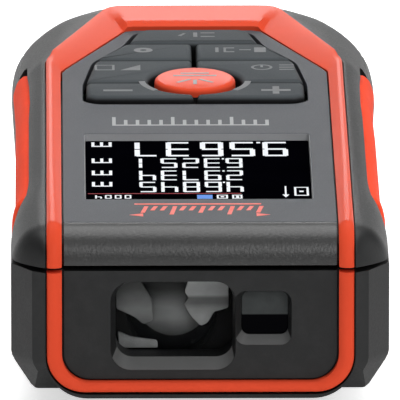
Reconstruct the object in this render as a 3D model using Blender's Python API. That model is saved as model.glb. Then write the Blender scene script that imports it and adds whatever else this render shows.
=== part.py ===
"""Pocket laser distance meter, drawn in millimetres and stored in metres.

Drawing axes: x across the body, d along it from the laser end, z up from the table.
"""

import math

import bpy
import bmesh
from mathutils import Matrix, Vector

MM = 0.001
GAP = 0.3

# Whole body
LENGTH = 116.0
CREST_Z = 25.7
FACE_Z = 25.15
SHOULDER_Z = 25.0
SEAT_Z = 23.6
SEAM_LOW_Z = 20.35
SEAM_HIGH_Z = 20.95
REAR_ARC_D = 102.0
REAR_ARC_R = 14.0
REAR_FLAT_HALF = 8.0
REAR_ARC_STEPS = 6
MORE_STATIONS = (2.4, 3.6, 14.0, 29.0, 108.0, 114.6)
CHAMFER = ((3.1, 0.0), (2.2, 0.6), (0.4, 3.4), (0.0, 4.5))
HALF_WIDTH_AT = (
    (0.2, 18.1), (1.2, 19.55), (5.0, 22.0), (16.0, 22.0), (21.0, 21.6), (26.0, 21.1),
    (32.0, 21.0), (56.0, 21.0), (78.0, 21.0), (85.0, 21.5), (92.0, 21.95), (102.0, 22.0),
)
BOTTOM_AT = ((0.0, 5.3), (14.0, 5.3), (32.0, 0.0), (114.6, 0.0), (116.0, 1.3))
TOP_AT = ((0.2, 22.3), (1.2, 23.7), (2.4, 24.6), (5.0, SHOULDER_Z), (111.0, SHOULDER_Z),
          (113.2, 24.6), (114.6, 23.8), (115.6, 22.6), (116.0, 21.6))
SHOULDER_START_AT = ((0.0, 19.8), (60.0, 19.8), (86.0, 17.2), (100.0, 16.6), (116.0, 16.6))
SHOULDER_INNER_AT = ((0.0, 17.9), (83.0, 17.9), (108.0, 10.9), (116.0, 4.0))
TUCK_AT = ((70.0, 0.0), (92.0, 0.8), (116.0, 0.8))

# Orange frame round the face, and the bumper round the laser end
FRAME_OUTER_X = 17.75
FRAME_INNER_X = 16.1
FRAME_NOSE_D = 4.2
FRAME_THICK = 1.8
FRAME_RAISED = 0.25
FRAME_CORNERS = (
    ((17.75, 30.0), (16.1, 30.0)), ((17.75, 82.6), (16.1, 77.4)), ((17.5, 84.4), (15.7, 78.8)),
    ((16.7, 87.2), (14.9, 81.0)), ((11.0, 106.2), (8.5, 97.8)), ((10.2, 107.8), (8.0, 98.4)),
    ((9.0, 108.5), (7.2, 98.6)),
)
BEAD = ((0.0, -1.0), (0.0, -0.24), (0.12, -0.06), (0.34, 0.0), (0.6, -0.08), (1.0, -0.25), (1.0, -1.0))
BUMPER_BOTTOM_Z = 6.0
BUMPER_DEEP = 1.9
FRONT_FACE_D = 1.2
RIM_HALF = 18.1
RIM_CORNER = 5.0
CHEEK_CUT_AT = ((0.7, 8.75), (4.9, 5.3))
CAVITY_D = 5.6

# Windows in the laser end: x low, x high, z low, z high
RECEIVER_MOUTH = (-10.45, 4.1, 8.4, 19.05)
EMITTER_MOUTH = (4.0, 10.6, 11.4, 17.9)
RECEIVER_SILL = 1.35
EMITTER_SILL = 1.05
TUNNEL_END_D = 7.0
RECEIVER_AXIS = (-3.3, 13.9)
EMITTER_AXIS = (7.4, 15.1)

# Display and keypad, in plan
DISPLAY_HALF = 13.35
DISPLAY_D = (16.0, 47.2)
GLASS_Z = 24.35
KEY_TOP_Z = 26.0
KEY_FOOT_Z = 23.5
KEY_BEVEL = 0.35
KEYPAD_D = (61.6, 97.4)
OVAL_CENTRE_D = 71.0
OVAL_HALF = (4.85, 5.6)
MOAT_HALF = (5.6, 6.5)

# Grip inlays, side view: place along the body and height of the lower and upper edge
GRIP_LOW_AT = (
    (22.5, 20.2), (23.4, 17.4), (26.5, 14.6), (72.0, 14.6), (83.5, 18.2), (87.6, 18.8), (88.5, 19.9),
)
GRIP_HIGH_AT = ((22.5, 22.2), (23.6, 23.4), (66.0, 23.4), (80.0, 22.8), (87.4, 22.3), (88.5, 21.2))
GRIP_INNER_X = 19.75
GRIP_POCKET_X = 19.5
GRIP_SETBACK = 0.05
GRIP_PROUD = 0.55
NOTCH = 2.2

# Battery bay and cover
BAY_HALF = 11.6
BAY_D = (47.0, 98.0)
BAY_TOP_Z = 13.1
CELL_X = 5.6
CELL_Z = 7.3
CELL_R = 5.2
CELL_D = (50.4, 94.2)
COVER_HALF = 12.7
COVER_D = (46.0, 98.3)

# Fold-out end piece
HINGE_D = 112.4
HINGE_Z = 1.5
LEAF_HALF = 8.9
LEAF_D = (99.8, 113.6)
PIN_R = 0.6

SCREWS = ((-16.6, 39.0), (16.6, 39.0), (-16.6, 90.0), (16.6, 90.0))


def along(table, d):
    """Value at d on a line through the (d, value) pairs of the table."""
    if d <= table[0][0]:
        return table[0][1]
    for (d0, v0), (d1, v1) in zip(table, table[1:]):
        if d <= d1:
            return v0 + (v1 - v0) * (d - d0) / (d1 - d0)
    return table[-1][1]


def clear_scene():
    for obj in list(bpy.data.objects):
        bpy.data.objects.remove(obj, do_unlink=True)


def material(name, color, roughness, metallic=0.0):
    made = bpy.data.materials.get(name)
    if made:
        return made
    made = bpy.data.materials.new(name)
    made.use_nodes = True
    shader = made.node_tree.nodes["Principled BSDF"]
    shader.inputs["Base Color"].default_value = (*color, 1.0)
    shader.inputs["Roughness"].default_value = roughness
    shader.inputs["Metallic"].default_value = metallic
    return made


def loft(rings):
    """Closed body through rings that all have the same number of points."""
    bm = bmesh.new()
    rows = [[bm.verts.new(point) for point in ring] for ring in rings]
    count = len(rows[0])
    for low, high in zip(rows, rows[1:]):
        for i in range(count):
            j = (i + 1) % count
            bm.faces.new((low[i], low[j], high[j], high[i]))
    bm.faces.new(rows[0])
    bm.faces.new(rows[-1])
    bmesh.ops.recalc_face_normals(bm, faces=bm.faces)
    return bm


def prism(outline, axis, low, high, bevel=0.0, segments=2):
    """Outline extruded along an axis, with the edges of its high end bevelled."""
    put = {
        "X": lambda a, b, t: (t, a, b),
        "Y": lambda a, b, t: (a, t, b),
        "Z": lambda a, b, t: (a, b, t),
    }[axis]
    bm = loft([[put(a, b, low) for a, b in outline], [put(a, b, high) for a, b in outline]])
    if bevel:
        index = "XYZ".index(axis)
        rim = [e for e in bm.edges if all(abs(v.co[index] - high) < 1e-6 for v in e.verts)]
        bmesh.ops.bevel(bm, geom=rim, offset=bevel, segments=segments, profile=0.5, affect="EDGES")
    return bm


def box(x0, x1, d0, d1, z0, z1, bevel=0.0):
    return prism([(x0, d0), (x1, d0), (x1, d1), (x0, d1)], "Z", z0, z1, bevel)


def rounded(a0, a1, b0, b1, radius, steps=4):
    """Rectangle outline with round corners."""
    points = []
    corners = ((a1, b0, -90), (a1, b1, 0), (a0, b1, 90), (a0, b0, 180))
    for a, b, start in corners:
        centre_a = a - math.copysign(radius, a - a0 - 1e-6)
        centre_b = b - math.copysign(radius, b - b0 - 1e-6)
        for step in range(steps + 1):
            angle = math.radians(start + 90 * step / steps)
            points.append((centre_a + radius * math.cos(angle), centre_b + radius * math.sin(angle)))
    return points


def disc(a, b, radius, count=24):
    turns = [2 * math.pi * i / count for i in range(count)]
    return [(a + radius * math.cos(t), b + radius * math.sin(t)) for t in turns]


def turned(axis_point, profile, count=24, axis="Y"):
    """Body of revolution: profile pairs are (place along the axis, radius)."""
    rings = []
    for place, radius in profile:
        ring = disc(*axis_point, radius, count)
        rings.append([(a, place, b) if axis == "Y" else (a, b, place) for a, b in ring])
    return loft(rings)


def build(name, bm, finish):
    """Object in drawing millimetres."""
    mesh = bpy.data.meshes.new(name)
    bm.to_mesh(mesh)
    bm.free()
    obj = bpy.data.objects.new(name, mesh)
    bpy.context.scene.collection.objects.link(obj)
    obj["finish"] = finish
    return obj


def combine(target, operation, *shapes):
    """Cuts shapes from the target, or joins them to it."""
    for shape in shapes:
        tool = build("tool", shape, "")
        step = target.modifiers.new("step", "BOOLEAN")
        step.operation = operation
        step.solver = "EXACT"
        step.object = tool
        graph = bpy.context.evaluated_depsgraph_get()
        mesh = bpy.data.meshes.new_from_object(target.evaluated_get(graph))
        target.modifiers.clear()
        target.data = mesh
        bpy.data.objects.remove(tool, do_unlink=True)
    return target


def half_width(d):
    if d <= REAR_ARC_D:
        return along(HALF_WIDTH_AT, d)
    return REAR_FLAT_HALF + math.sqrt(max(REAR_ARC_R**2 - (d - REAR_ARC_D) ** 2, 0.0))


def shoulder(d, z):
    """Half width of the rounded shoulder at height z."""
    wide = half_width(d)
    start = along(SHOULDER_START_AT, d)
    inner = min(along(SHOULDER_INNER_AT, d), wide - 0.4)
    if z <= start:
        return wide
    rise = min((z - start) / (along(TOP_AT, d) - start), 1.0)
    return inner + (wide - inner) * math.sqrt(1.0 - rise**2)


def stations():
    """Places along the body where a section is drawn."""
    marks = {d for d, _ in HALF_WIDTH_AT} | set(MORE_STATIONS)
    marks |= {REAR_ARC_D + REAR_ARC_R * math.sin(math.pi / 2 * i / REAR_ARC_STEPS)
              for i in range(1, REAR_ARC_STEPS + 1)}
    return sorted(marks)


def mirrored(half):
    return half + [(-x, d, z) for x, d, z in reversed(half)]


def lower_section(d):
    """Section of the lower shell: chamfered underside, wall that leans in at the rear, then the shoulder."""
    floor = along(BOTTOM_AT, d)
    start = along(SHOULDER_START_AT, d)
    wide = half_width(d)
    slim = wide - along(TUCK_AT, d)
    half = [(slim - inset, d, floor + rise) for inset, rise in CHAMFER]
    for step in range(3):
        z = start + (SEAM_LOW_Z - start) * step / 2
        half.append((shoulder(d, z), d, z))
    return mirrored(half)


def upper_section(d):
    top = along(TOP_AT, d)
    start = along(SHOULDER_START_AT, d)
    first = math.asin((SEAM_HIGH_Z - start) / (top - start))
    half = []
    for step in range(6):
        turn = first + (math.pi / 2 - first) * step / 5
        z = start + (top - start) * math.sin(turn)
        half.append((shoulder(d, z), d, z))
    return mirrored(half)


def u_outline(half, bottom, corner, inner_half, inner_bottom, inner_corner, top):
    """U shape that is open at the top, as seen from the laser end."""
    points = []
    for width, floor, radius, order in (
        (half, bottom, corner, 1), (inner_half, inner_bottom, inner_corner, -1),
    ):
        arc = [math.radians(-90 * i / 5) for i in range(6)]
        right = [(width - radius + radius * math.cos(t), floor + radius + radius * math.sin(t)) for t in arc]
        path = [(width, top)] + right
        path += [(-x, z) for x, z in reversed(path)]
        points += path[::order]
    return points


def mouth(outline, inset, sill, neck_d, radius):
    """Cutter for a window: a mouth with bevelled sides and a deeper sill, then a straight tunnel."""
    x0, x1, z0, z1 = outline
    rings = []
    for share, d in ((0.0, -1.0), (0.0, FRONT_FACE_D), (1.0, neck_d), (1.0, TUNNEL_END_D)):
        side = inset * share
        low, high = z0 + sill * share, z1 - side * 0.3
        ring = rounded(x0 + side * 0.8, x1 - side * 0.4, low, high, radius - 0.4 * share)
        rings.append([(x, d, z) for x, z in ring])
    return loft(rings)


def grip_outline(grow, notch=0.0):
    """Side view of the grip inlay, with a notch past its rear end for a strap."""
    middle = LENGTH / 2
    low = [(d - grow if d < middle else d + grow + notch, z - grow) for d, z in GRIP_LOW_AT]
    high = [(d - grow if d < middle else d + grow + notch, z + grow) for d, z in GRIP_HIGH_AT]
    return low + high[::-1]


def grip_pocket(side):
    low, high = sorted((side * GRIP_POCKET_X, side * 24.0))
    return prism(grip_outline(0.35, NOTCH), "X", low, high)


def screw_hole(x, d):
    """Cutter for a screw: head, then shank."""
    return turned((x, d), [(-1.0, 2.3), (2.6, 2.3), (2.6, 1.3), (23.1, 1.3)], 16, "Z")


def lower_housing():
    body = build("lower_housing", loft([lower_section(d) for d in stations()]), "charcoal")
    tall = rounded(-RIM_HALF, RIM_HALF, BOTTOM_AT[0][1], 40.0, RIM_CORNER, 6)
    corner = [(x, z) for x, z in tall if z < 30.0]
    right, left = corner[:len(corner) // 2], corner[len(corner) // 2:]
    rim = right + [(RIM_HALF, SEAM_LOW_Z), (-RIM_HALF, SEAM_LOW_Z)] + left
    (near, high), (far, low) = CHEEK_CUT_AT
    slope = (high - low) / (far - near)
    cheek_cut = [(-1.0, 0.0), (far, 0.0), (far, low), (-1.0, high + slope * (near + 1.0))]
    combine(body, "DIFFERENCE", prism(cheek_cut, "X", -30.0, 30.0))
    combine(body, "UNION", prism(rim, "Y", HALF_WIDTH_AT[0][0], 6.0))
    pocket = rounded(-18.0, 18.0, 5.75, 30.0, 4.6, 5)
    groove = u_outline(18.0, 5.75, 4.6, 15.85, 7.4, 3.1, 22.0)
    combine(body, "DIFFERENCE", prism(pocket, "Y", -1.0, FRONT_FACE_D))
    combine(body, "DIFFERENCE", prism(groove, "Y", -1.0, BUMPER_DEEP + GAP))
    optics_room = [(CAVITY_D, 7.6), (14.6, 7.6), (31.0, 2.2), (34.0, 2.2), (34.0, 22.0), (CAVITY_D, 22.0)]
    upper_room = [(-18.4, 44.0), (18.4, 44.0), (18.4, 102.0), (14.0, 109.0), (-14.0, 109.0), (-18.4, 102.0)]
    combine(
        body, "DIFFERENCE",
        prism(optics_room, "X", -18.6, 18.6),
        box(-14.0, 14.0, 33.0, 45.0, 2.2, 22.0),
        prism(upper_room, "Z", 14.6, 22.0),
        box(-BAY_HALF, BAY_HALF, *BAY_D, -1.0, BAY_TOP_Z),
        box(-COVER_HALF - GAP, COVER_HALF + GAP, COVER_D[0] - GAP, COVER_D[1] + GAP, -1.0, 1.9),
        box(-9.3, 9.3, 34.2, 43.8, -1.0, 0.65),
        box(-LEAF_HALF - GAP, LEAF_HALF + GAP, LEAF_D[0] - GAP, LENGTH + 2.0, -1.0, 3.2),
        prism(disc(HINGE_D, HINGE_Z, PIN_R + GAP, 12), "X", -11.2, 11.2),
        box(-17.0, -11.6, 109.8, LENGTH + 2.0, 6.4, 12.6),
        prism(disc(-13.4, 112.4, 1.1, 12), "Z", 4.6, 14.4),
        mouth(RECEIVER_MOUTH, 0.75, RECEIVER_SILL, 2.3, 2.4),
        mouth(EMITTER_MOUTH, 0.95, EMITTER_SILL, 2.15, 1.3),
    )
    for x, d in SCREWS:
        combine(body, "DIFFERENCE", screw_hole(x, d))
    return combine(body, "DIFFERENCE", grip_pocket(-1), grip_pocket(1))


def both_sides(half):
    """Closed plan outline from its +x half, which runs from the laser end to the rear."""
    return half + [(-x, d) for x, d in reversed(half)]


def face_outline():
    return both_sides([(15.8, 5.6), (15.8, 77.4), (15.4, 78.7), (14.6, 80.9), (8.15, 97.7), (7.1, 98.3)])


def seat_outline():
    """Plan of the seat under the orange frame."""
    return both_sides([(18.0, 4.8), (18.0, 82.7), (17.75, 84.5), (16.95, 87.3), (11.25, 106.4),
                       (10.4, 108.1), (9.1, 108.85)])


def keypad_outline(grow):
    near, far = KEYPAD_D
    half = [
        (11.9, near - grow), (13.45 + grow, near + 1.4 - grow), (13.45 + grow, 71.0), (12.3 + grow, 82.0),
        (8.6 + grow, 90.2), (7.2 + grow, far - 1.0 + grow), (6.0, far + grow),
    ]
    return both_sides(half)


def upper_housing():
    body = build("upper_housing", loft([upper_section(d) for d in stations()]), "charcoal")
    nose = [(-1.0, 20.0), (3.3, 20.0), (3.3, 22.0), (3.9, 22.9), (5.2, SEAT_Z), (8.0, SEAT_Z), (8.0, 30.0),
            (-1.0, 30.0)]
    middle = both_sides([(14.6, 7.5), (14.6, 79.5), (7.9, 98.3)])
    combine(
        body, "DIFFERENCE",
        prism(nose, "X", -18.0, 18.0),
        prism(seat_outline(), "Z", SEAT_Z, 30.0),
        prism(middle, "Z", 20.0, 30.0),
    )
    for x, d in SCREWS:
        combine(body, "DIFFERENCE", prism(disc(x, d, 1.3, 16), "Z", 20.0, 23.1))
    return combine(body, "DIFFERENCE", grip_pocket(-1), grip_pocket(1))


def seam_gasket():
    """Rubber cord between the two shells, one closed loop."""
    body = None
    for inset, height in ((1.5, (20.5, 20.8)), (2.4, (19.5, 21.5))):
        plan = [(shoulder(d, SEAM_LOW_Z) - inset, d) for d in stations() if 5.0 < d < 112.0]
        plan.append((9.5 - inset * 0.4, LENGTH - inset))
        plan.insert(0, (17.6 - inset, 3.0 + inset))
        plan = plan + [(-x, d) for x, d in reversed(plan)]
        shape = prism(plan, "Z", *height)
        if body is None:
            body = build("seam_gasket", shape, "rubber_black")
        else:
            combine(body, "DIFFERENCE", shape)
    slots = [prism(grip_outline(0.6, NOTCH), "X", *sorted((side * 19.35, side * 24.0))) for side in (-1, 1)]
    return combine(body, "DIFFERENCE", *slots)


def nose_cap():
    """Curved piece where the face rolls over the laser end."""
    outer, inner = [], []
    for step in range(9):
        turn = math.radians(90 * step / 8)
        rise = math.sin(turn)
        outer.append((5.2 - 4.0 * math.cos(turn), SEAM_HIGH_Z + (FACE_Z - SEAM_HIGH_Z) * rise))
        inner.append((5.2 - 2.2 * math.cos(turn), SEAM_HIGH_Z + (23.9 - SEAM_HIGH_Z) * rise))
    return build("nose_cap", prism(outer + inner[::-1], "X", -15.8, 15.8), "nose_grey")


def frame_section(outer, inner, up, crest):
    """Bead section between an outer and an inner point. Its crest lies the given height along up."""
    outer, inner = Vector(outer), Vector(inner)
    return [outer.lerp(inner, share) + up * (crest + drop * FRAME_THICK) for share, drop in BEAD]


def top_frame():
    rings = []
    for step in range(8):
        turn = math.radians(90 * step / 7)
        up = Vector((0, -math.cos(turn), math.sin(turn)))
        place = (FRAME_NOSE_D * (1 + up.y), SEAM_HIGH_Z + up.z * (CREST_Z - SEAM_HIGH_Z))
        rings.append(frame_section((FRAME_OUTER_X, *place), (FRAME_INNER_X, *place), up, 0.0))
    for outer, inner in FRAME_CORNERS:
        crest = FRAME_RAISED if outer[1] > 87.0 else 0.0
        rings.append(frame_section((*outer, CREST_Z), (*inner, CREST_Z), Vector((0, 0, 1)), crest))
    rings += [[Vector((-p.x, p.y, p.z)) for p in ring] for ring in reversed(rings)]
    return build("top_frame", loft(rings), "orange_gloss")


def front_bumper():
    outline = u_outline(FRAME_OUTER_X, BUMPER_BOTTOM_Z, 4.4, FRAME_INNER_X, 7.15, 3.35, SEAM_LOW_Z)
    bm = prism(outline, "Y", BUMPER_DEEP, 0.0, 0.5, 3)
    return build("front_bumper", bm, "orange_gloss")


def grip_surface(d, z):
    """Half width of the inlay: level with the shell at its edge, proud of it further in."""
    low, high = along(GRIP_LOW_AT, d), along(GRIP_HIGH_AT, d)
    inside = min(z - low, high - z, d - GRIP_LOW_AT[0][0], GRIP_LOW_AT[-1][0] - d)
    return shoulder(d, z) - GRIP_SETBACK + GRIP_PROUD * min(inside / 1.2, 1.0)


def side_grip(name, side):
    """Soft inlay in the waist, following the rounded shoulder."""
    marks = {d for d, _ in GRIP_LOW_AT + GRIP_HIGH_AT} | {24.6, 31.0, 45.0, 60.0, 76.0, 86.4}
    rings = []
    for d in sorted(marks):
        low, high = along(GRIP_LOW_AT, d), along(GRIP_HIGH_AT, d)
        heights = [low, min(low + 1.2, (low + high) / 2)]
        heights += [low + (high - low) * share for share in (0.5, 0.65, 0.8)]
        heights += [max(high - 1.2, (low + high) / 2), high]
        ring = [(side * grip_surface(d, z), d, z) for z in sorted(heights)]
        rings.append(ring + [(side * GRIP_INNER_X, d, high), (side * GRIP_INNER_X, d, low)])
    return build(name, loft(rings), "orange_soft")


def face_panel():
    bm = prism(face_outline(), "Z", 23.9, FACE_Z)
    body = build("face_panel", bm, "face_grey")
    display = rounded(-DISPLAY_HALF, DISPLAY_HALF, *DISPLAY_D, 0.5, 2)
    return combine(
        body, "DIFFERENCE",
        prism(display, "Z", 20.0, 30.0),
        prism(keypad_outline(0.0), "Z", 20.0, 30.0),
    )


def moat_arc(x, d_from, d_to, steps=9):
    """Points of the moat ellipse on the +x side, between two places on it."""
    first = math.asin((d_from - OVAL_CENTRE_D) / MOAT_HALF[1])
    last = math.asin((d_to - OVAL_CENTRE_D) / MOAT_HALF[1])
    turns = [first + (last - first) * i / steps for i in range(steps + 1)]
    arc = [(MOAT_HALF[0] * math.cos(t), OVAL_CENTRE_D + MOAT_HALF[1] * math.sin(t)) for t in turns]
    return [(max(a, x), b) for a, b in arc]


def moat_edge(x):
    """How far the moat reaches from the oval's centre at this x."""
    return MOAT_HALF[1] * math.sqrt(1 - (x / MOAT_HALF[0]) ** 2)


SPLIT_X = 0.25
KEY_PLANS = {
    "key_plus": [(SPLIT_X, 63.0), (11.9, 63.0), (13.05, 63.9), (13.05, 69.6), (12.6, 70.0)]
    + moat_arc(SPLIT_X, 70.0, OVAL_CENTRE_D - moat_edge(SPLIT_X)),
    "key_timer": [(13.0, 70.6), (13.0, 71.2), (12.0, 80.6), (11.4, 81.1), (SPLIT_X, 81.1)]
    + moat_arc(SPLIT_X, OVAL_CENTRE_D + moat_edge(SPLIT_X), 70.6),
    "key_memory": [(SPLIT_X, 81.7), (11.3, 81.7), (11.6, 82.2), (8.5, 89.0), (8.0, 89.4), (SPLIT_X, 89.4)],
}


LEFT_KEYS = {"key_plus": "key_minus", "key_timer": "key_function", "key_memory": "key_reference"}


def keys():
    made = []
    for name, plan in KEY_PLANS.items():
        made.append(key(name, plan))
        made.append(key(LEFT_KEYS[name], [(-x, d) for x, d in plan]))
    made.append(key("key_clear", both_sides([(7.9, 90.0), (6.8, 95.6), (5.9, 96.8)])))
    oval = [(OVAL_HALF[0] * a, OVAL_CENTRE_D + OVAL_HALF[1] * b) for a, b in disc(0, 0, 1, 28)]
    made.append(key("key_measure", oval, "orange_gloss", 0.25))
    return made


def key(name, plan, finish="key_grey", raise_by=0.0):
    bm = prism(plan, "Z", KEY_FOOT_Z, KEY_TOP_Z - 0.25 + raise_by, KEY_BEVEL)
    return build(name, bm, finish)


def key_centre(plan_object):
    corners = [Vector(corner) for corner in plan_object.bound_box]
    return sum(corners, Vector()) / len(corners)


DOMES = ((-7.6, 66.5), (7.6, 66.5), (-8.0, 76.5), (8.0, 76.5), (0, 71), (-5, 85.5), (5, 85.5), (0, 93))


def keypad_parts():
    """Rubber mat with a dome under each key, and the board below it."""
    mat = build("keypad_mat", prism(keypad_outline(0.3), "Z", 21.6, 22.3), "rubber_black")
    for x, d in DOMES:
        combine(mat, "UNION", prism(disc(x, d, 1.4, 12), "Z", 22.0, 22.8))
    board = prism([(-13.2, 60.0), (13.2, 60.0), (13.2, 79.0), (7.2, 96.0), (-7.2, 96.0), (-13.2, 79.0)],
                  "Z", 20.4, 21.2)
    return [mat, build("keypad_board", board, "board_green")]


def display_parts():
    near, far = DISPLAY_D
    glass = rounded(-DISPLAY_HALF + GAP, DISPLAY_HALF - GAP, near + GAP, far - GAP, 0.4, 2)
    window = build("display_window", prism(glass, "Z", 23.4, GLASS_Z), "black_glass")
    module = build("display_module", box(-12.9, 12.9, near + 0.6, far - 0.6, 21.5, 23.1, 0.2), "module_dark")
    carrier = build("display_carrier", box(-13.7, 13.7, near - 1.0, far + 1.0, 20.2, 22.6), "charcoal")
    combine(carrier, "DIFFERENCE", box(-13.2, 13.2, near + GAP, far - GAP, 21.2, 30.0),
            box(-10.0, 10.0, near + 4.0, far - 4.0, 10.0, 30.0))
    strip = [(49.2, 21.6), (51.4, 21.6), (52.4, 20.8), (52.4, 17.0), (52.1, 17.0), (52.1, 20.7), (51.3, 21.3),
             (49.2, 21.3)]
    flex = build("display_flex", prism(strip, "X", -4.0, 4.0), "copper_flex")
    return [window, module, carrier, flex]


def optics_parts():
    rx, rz = RECEIVER_AXIS
    ex, ez = EMITTER_AXIS
    block = build("optics_block", box(-13.0, 13.0, 6.4, 31.0, 8.0, 19.8, 0.4), "charcoal")
    combine(
        block, "DIFFERENCE",
        prism(disc(rx, rz, 5.3, 28), "Y", 5.0, 25.0),
        prism(disc(rx, rz, 2.9, 20), "Y", 20.0, 33.0),
        prism(disc(ex, ez, 3.1, 20), "Y", 5.0, 33.0),
    )
    lens = [(6.9, 1.2), (7.1, 3.0), (7.7, 4.9), (8.4, 5.0), (8.9, 5.0), (9.5, 3.1), (9.8, 1.2)]
    receiver = build("receiver_lens", turned((rx, rz), lens, 28), "lens_glass")
    barrel = build("collimator_barrel", turned((ex, ez), [(7.2, 2.8), (20.0, 2.8)], 20), "brass_dark")
    combine(barrel, "DIFFERENCE", prism(disc(ex, ez, 1.95, 20), "Y", 5.0, 22.0))
    small = build("collimator_lens", turned((ex, ez), [(7.9, 0.6), (8.1, 1.3), (8.5, 1.65), (9.4, 1.65)], 20),
                  "lens_glass")
    diode = build("laser_diode", turned((ex, ez), [(20.4, 1.6), (21.0, 1.6), (21.0, 2.7), (22.4, 2.7)], 20),
                  "metal_bright")
    sensor = turned((rx, rz), [(28.6, 1.8), (30.6, 1.8), (30.6, 2.5), (31.2, 2.5)], 20)
    photodiode = build("photodiode", sensor, "metal_bright")
    board = build("detector_board", box(-11.0, 11.0, 31.6, 32.6, 8.0, 19.0), "board_green")
    x0, x1, z0, z1 = RECEIVER_MOUTH
    plate = rounded(x0 + 0.95, x1 - 0.65, z0 + RECEIVER_SILL + GAP, z1 - 0.55, 1.8)
    window = build("receiver_window", prism(plate, "Y", 5.2, 4.6), "lens_glass")
    x0, x1, z0, z1 = EMITTER_MOUTH
    plate = rounded(x0 + 1.1, x1 - 0.7, z0 + EMITTER_SILL + GAP, z1 - 0.6, 0.7)
    exit_window = build("emitter_window", prism(plate, "Y", 3.0, 2.4), "lens_glass")
    return [block, receiver, barrel, small, diode, photodiode, board, window, exit_window]


def board_parts():
    board = build("main_board", box(-14.6, 14.6, 46.0, 107.0, 15.2, 16.4), "board_green")
    return [
        board,
        build("processor", box(-1.0, 9.0, 68.0, 78.0, 16.7, 17.9, 0.15), "chip_black"),
        build("wireless_can", box(-12.5, -2.5, 84.0, 100.0, 16.7, 18.5, 0.3), "metal_bright"),
        build("buzzer", turned((8.0, 92.0), [(16.7, 4.5), (19.4, 4.5), (19.4, 1.0), (19.7, 1.0)], 24, "Z"),
              "chip_black"),
    ]


def coil_spring(name, x, d_low, d_high):
    """Round wire coil along the body."""
    turns, per_turn, sides, wire = 3, 12, 6, 0.28
    rings = []
    for i in range(turns * per_turn + 1):
        share = i / (turns * per_turn)
        angle = 2 * math.pi * turns * share
        radius = 3.0
        out = Vector((math.cos(angle), 0, math.sin(angle)))
        centre = Vector((x, d_low + wire + (d_high - d_low - 2 * wire) * share, CELL_Z)) + out * radius
        ring = []
        for k in range(sides):
            t = 2 * math.pi * k / sides
            ring.append(centre + out * wire * math.cos(t) + Vector((0, wire * math.sin(t), 0)))
        rings.append(ring)
    return build(name, loft(rings), "metal_bright")


def battery_parts():
    near, far = CELL_D
    made = []
    for name, x, flip in (("battery_cell_left", -CELL_X, 1), ("battery_cell_right", CELL_X, -1)):
        profile = [(near, 4.7), (near + 0.4, CELL_R), (far - 0.4, CELL_R), (far, 4.7),
                   (far, 1.9), (far + 0.8, 1.9)]
        if flip < 0:
            profile = [(near + far - place, radius) for place, radius in reversed(profile)]
        made.append(build(name, turned((x, CELL_Z), profile, 28), "cell_wrap"))
    made.append(coil_spring("battery_spring_left", -CELL_X, 47.9, 50.1))
    made.append(coil_spring("battery_spring_right", CELL_X, 94.5, 97.0))
    made.append(build("contact_plate_front", box(-10.2, 10.2, 47.3, 47.6, 2.8, 12.2), "metal_bright"))
    made.append(build("contact_plate_rear", box(-10.2, 10.2, 97.4, 97.7, 2.8, 12.2), "metal_bright"))
    return made


def battery_cover():
    near, far = COVER_D
    cover = build("battery_cover", box(-COVER_HALF, COVER_HALF, near, far, 0.25, 1.6), "charcoal")
    combine(cover, "UNION", box(-9.0, -5.0, 47.3, 48.4, 1.0, 2.5), box(5.0, 9.0, 47.3, 48.4, 1.0, 2.5))
    ribs = [box(-6.0 + i, 6.0 - i, 50.0 + 1.6 * i, 50.8 + 1.6 * i, -1.0, 0.65) for i in range(4)]
    return combine(cover, "DIFFERENCE", *ribs)


def end_piece():
    """Leaf that folds out past the rear end."""
    near, far = LEAF_D
    leaf = [(near, 0.3), (far - 1.2, 0.3), (far - 0.35, 0.65), (far, HINGE_Z), (far - 0.35, 2.35),
            (far - 1.2, 2.7), (near, 2.7)]
    body = build("end_piece", prism(leaf, "X", -LEAF_HALF, LEAF_HALF), "charcoal")
    bore = prism(disc(HINGE_D, HINGE_Z, PIN_R + 0.08, 16), "X", -LEAF_HALF - 1, LEAF_HALF + 1)
    finger = prism(disc(0.0, near, 3.0, 24), "Z", -1.0, 5.0)
    return combine(body, "DIFFERENCE", bore, finger)


def small_parts():
    made = [
        build("end_piece_pin", prism(disc(HINGE_D, HINGE_Z, PIN_R, 16), "X", -10.8, 10.8), "metal_bright"),
        build("lanyard_pin", prism(disc(-13.4, 112.4, 0.8, 12), "Z", 5.0, 14.0), "metal_bright"),
        build("blank_plate", box(-9.0, 9.0, 34.5, 43.5, 0.05, 0.35), "label_silver"),
    ]
    for number, (x, d) in enumerate(SCREWS, 1):
        screw = turned((x, d), [(0.7, 1.9), (2.3, 1.9), (2.3, 1.0), (22.7, 1.0)], 16, "Z")
        made.append(build(f"housing_screw_{number}", screw, "metal_bright"))
        combine(made[-1], "DIFFERENCE", box(x - 1.2, x + 1.2, d - 0.25, d + 0.25, 0.0, 1.3),
                box(x - 0.25, x + 0.25, d - 1.2, d + 1.2, 0.0, 1.3))
    return made


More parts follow.
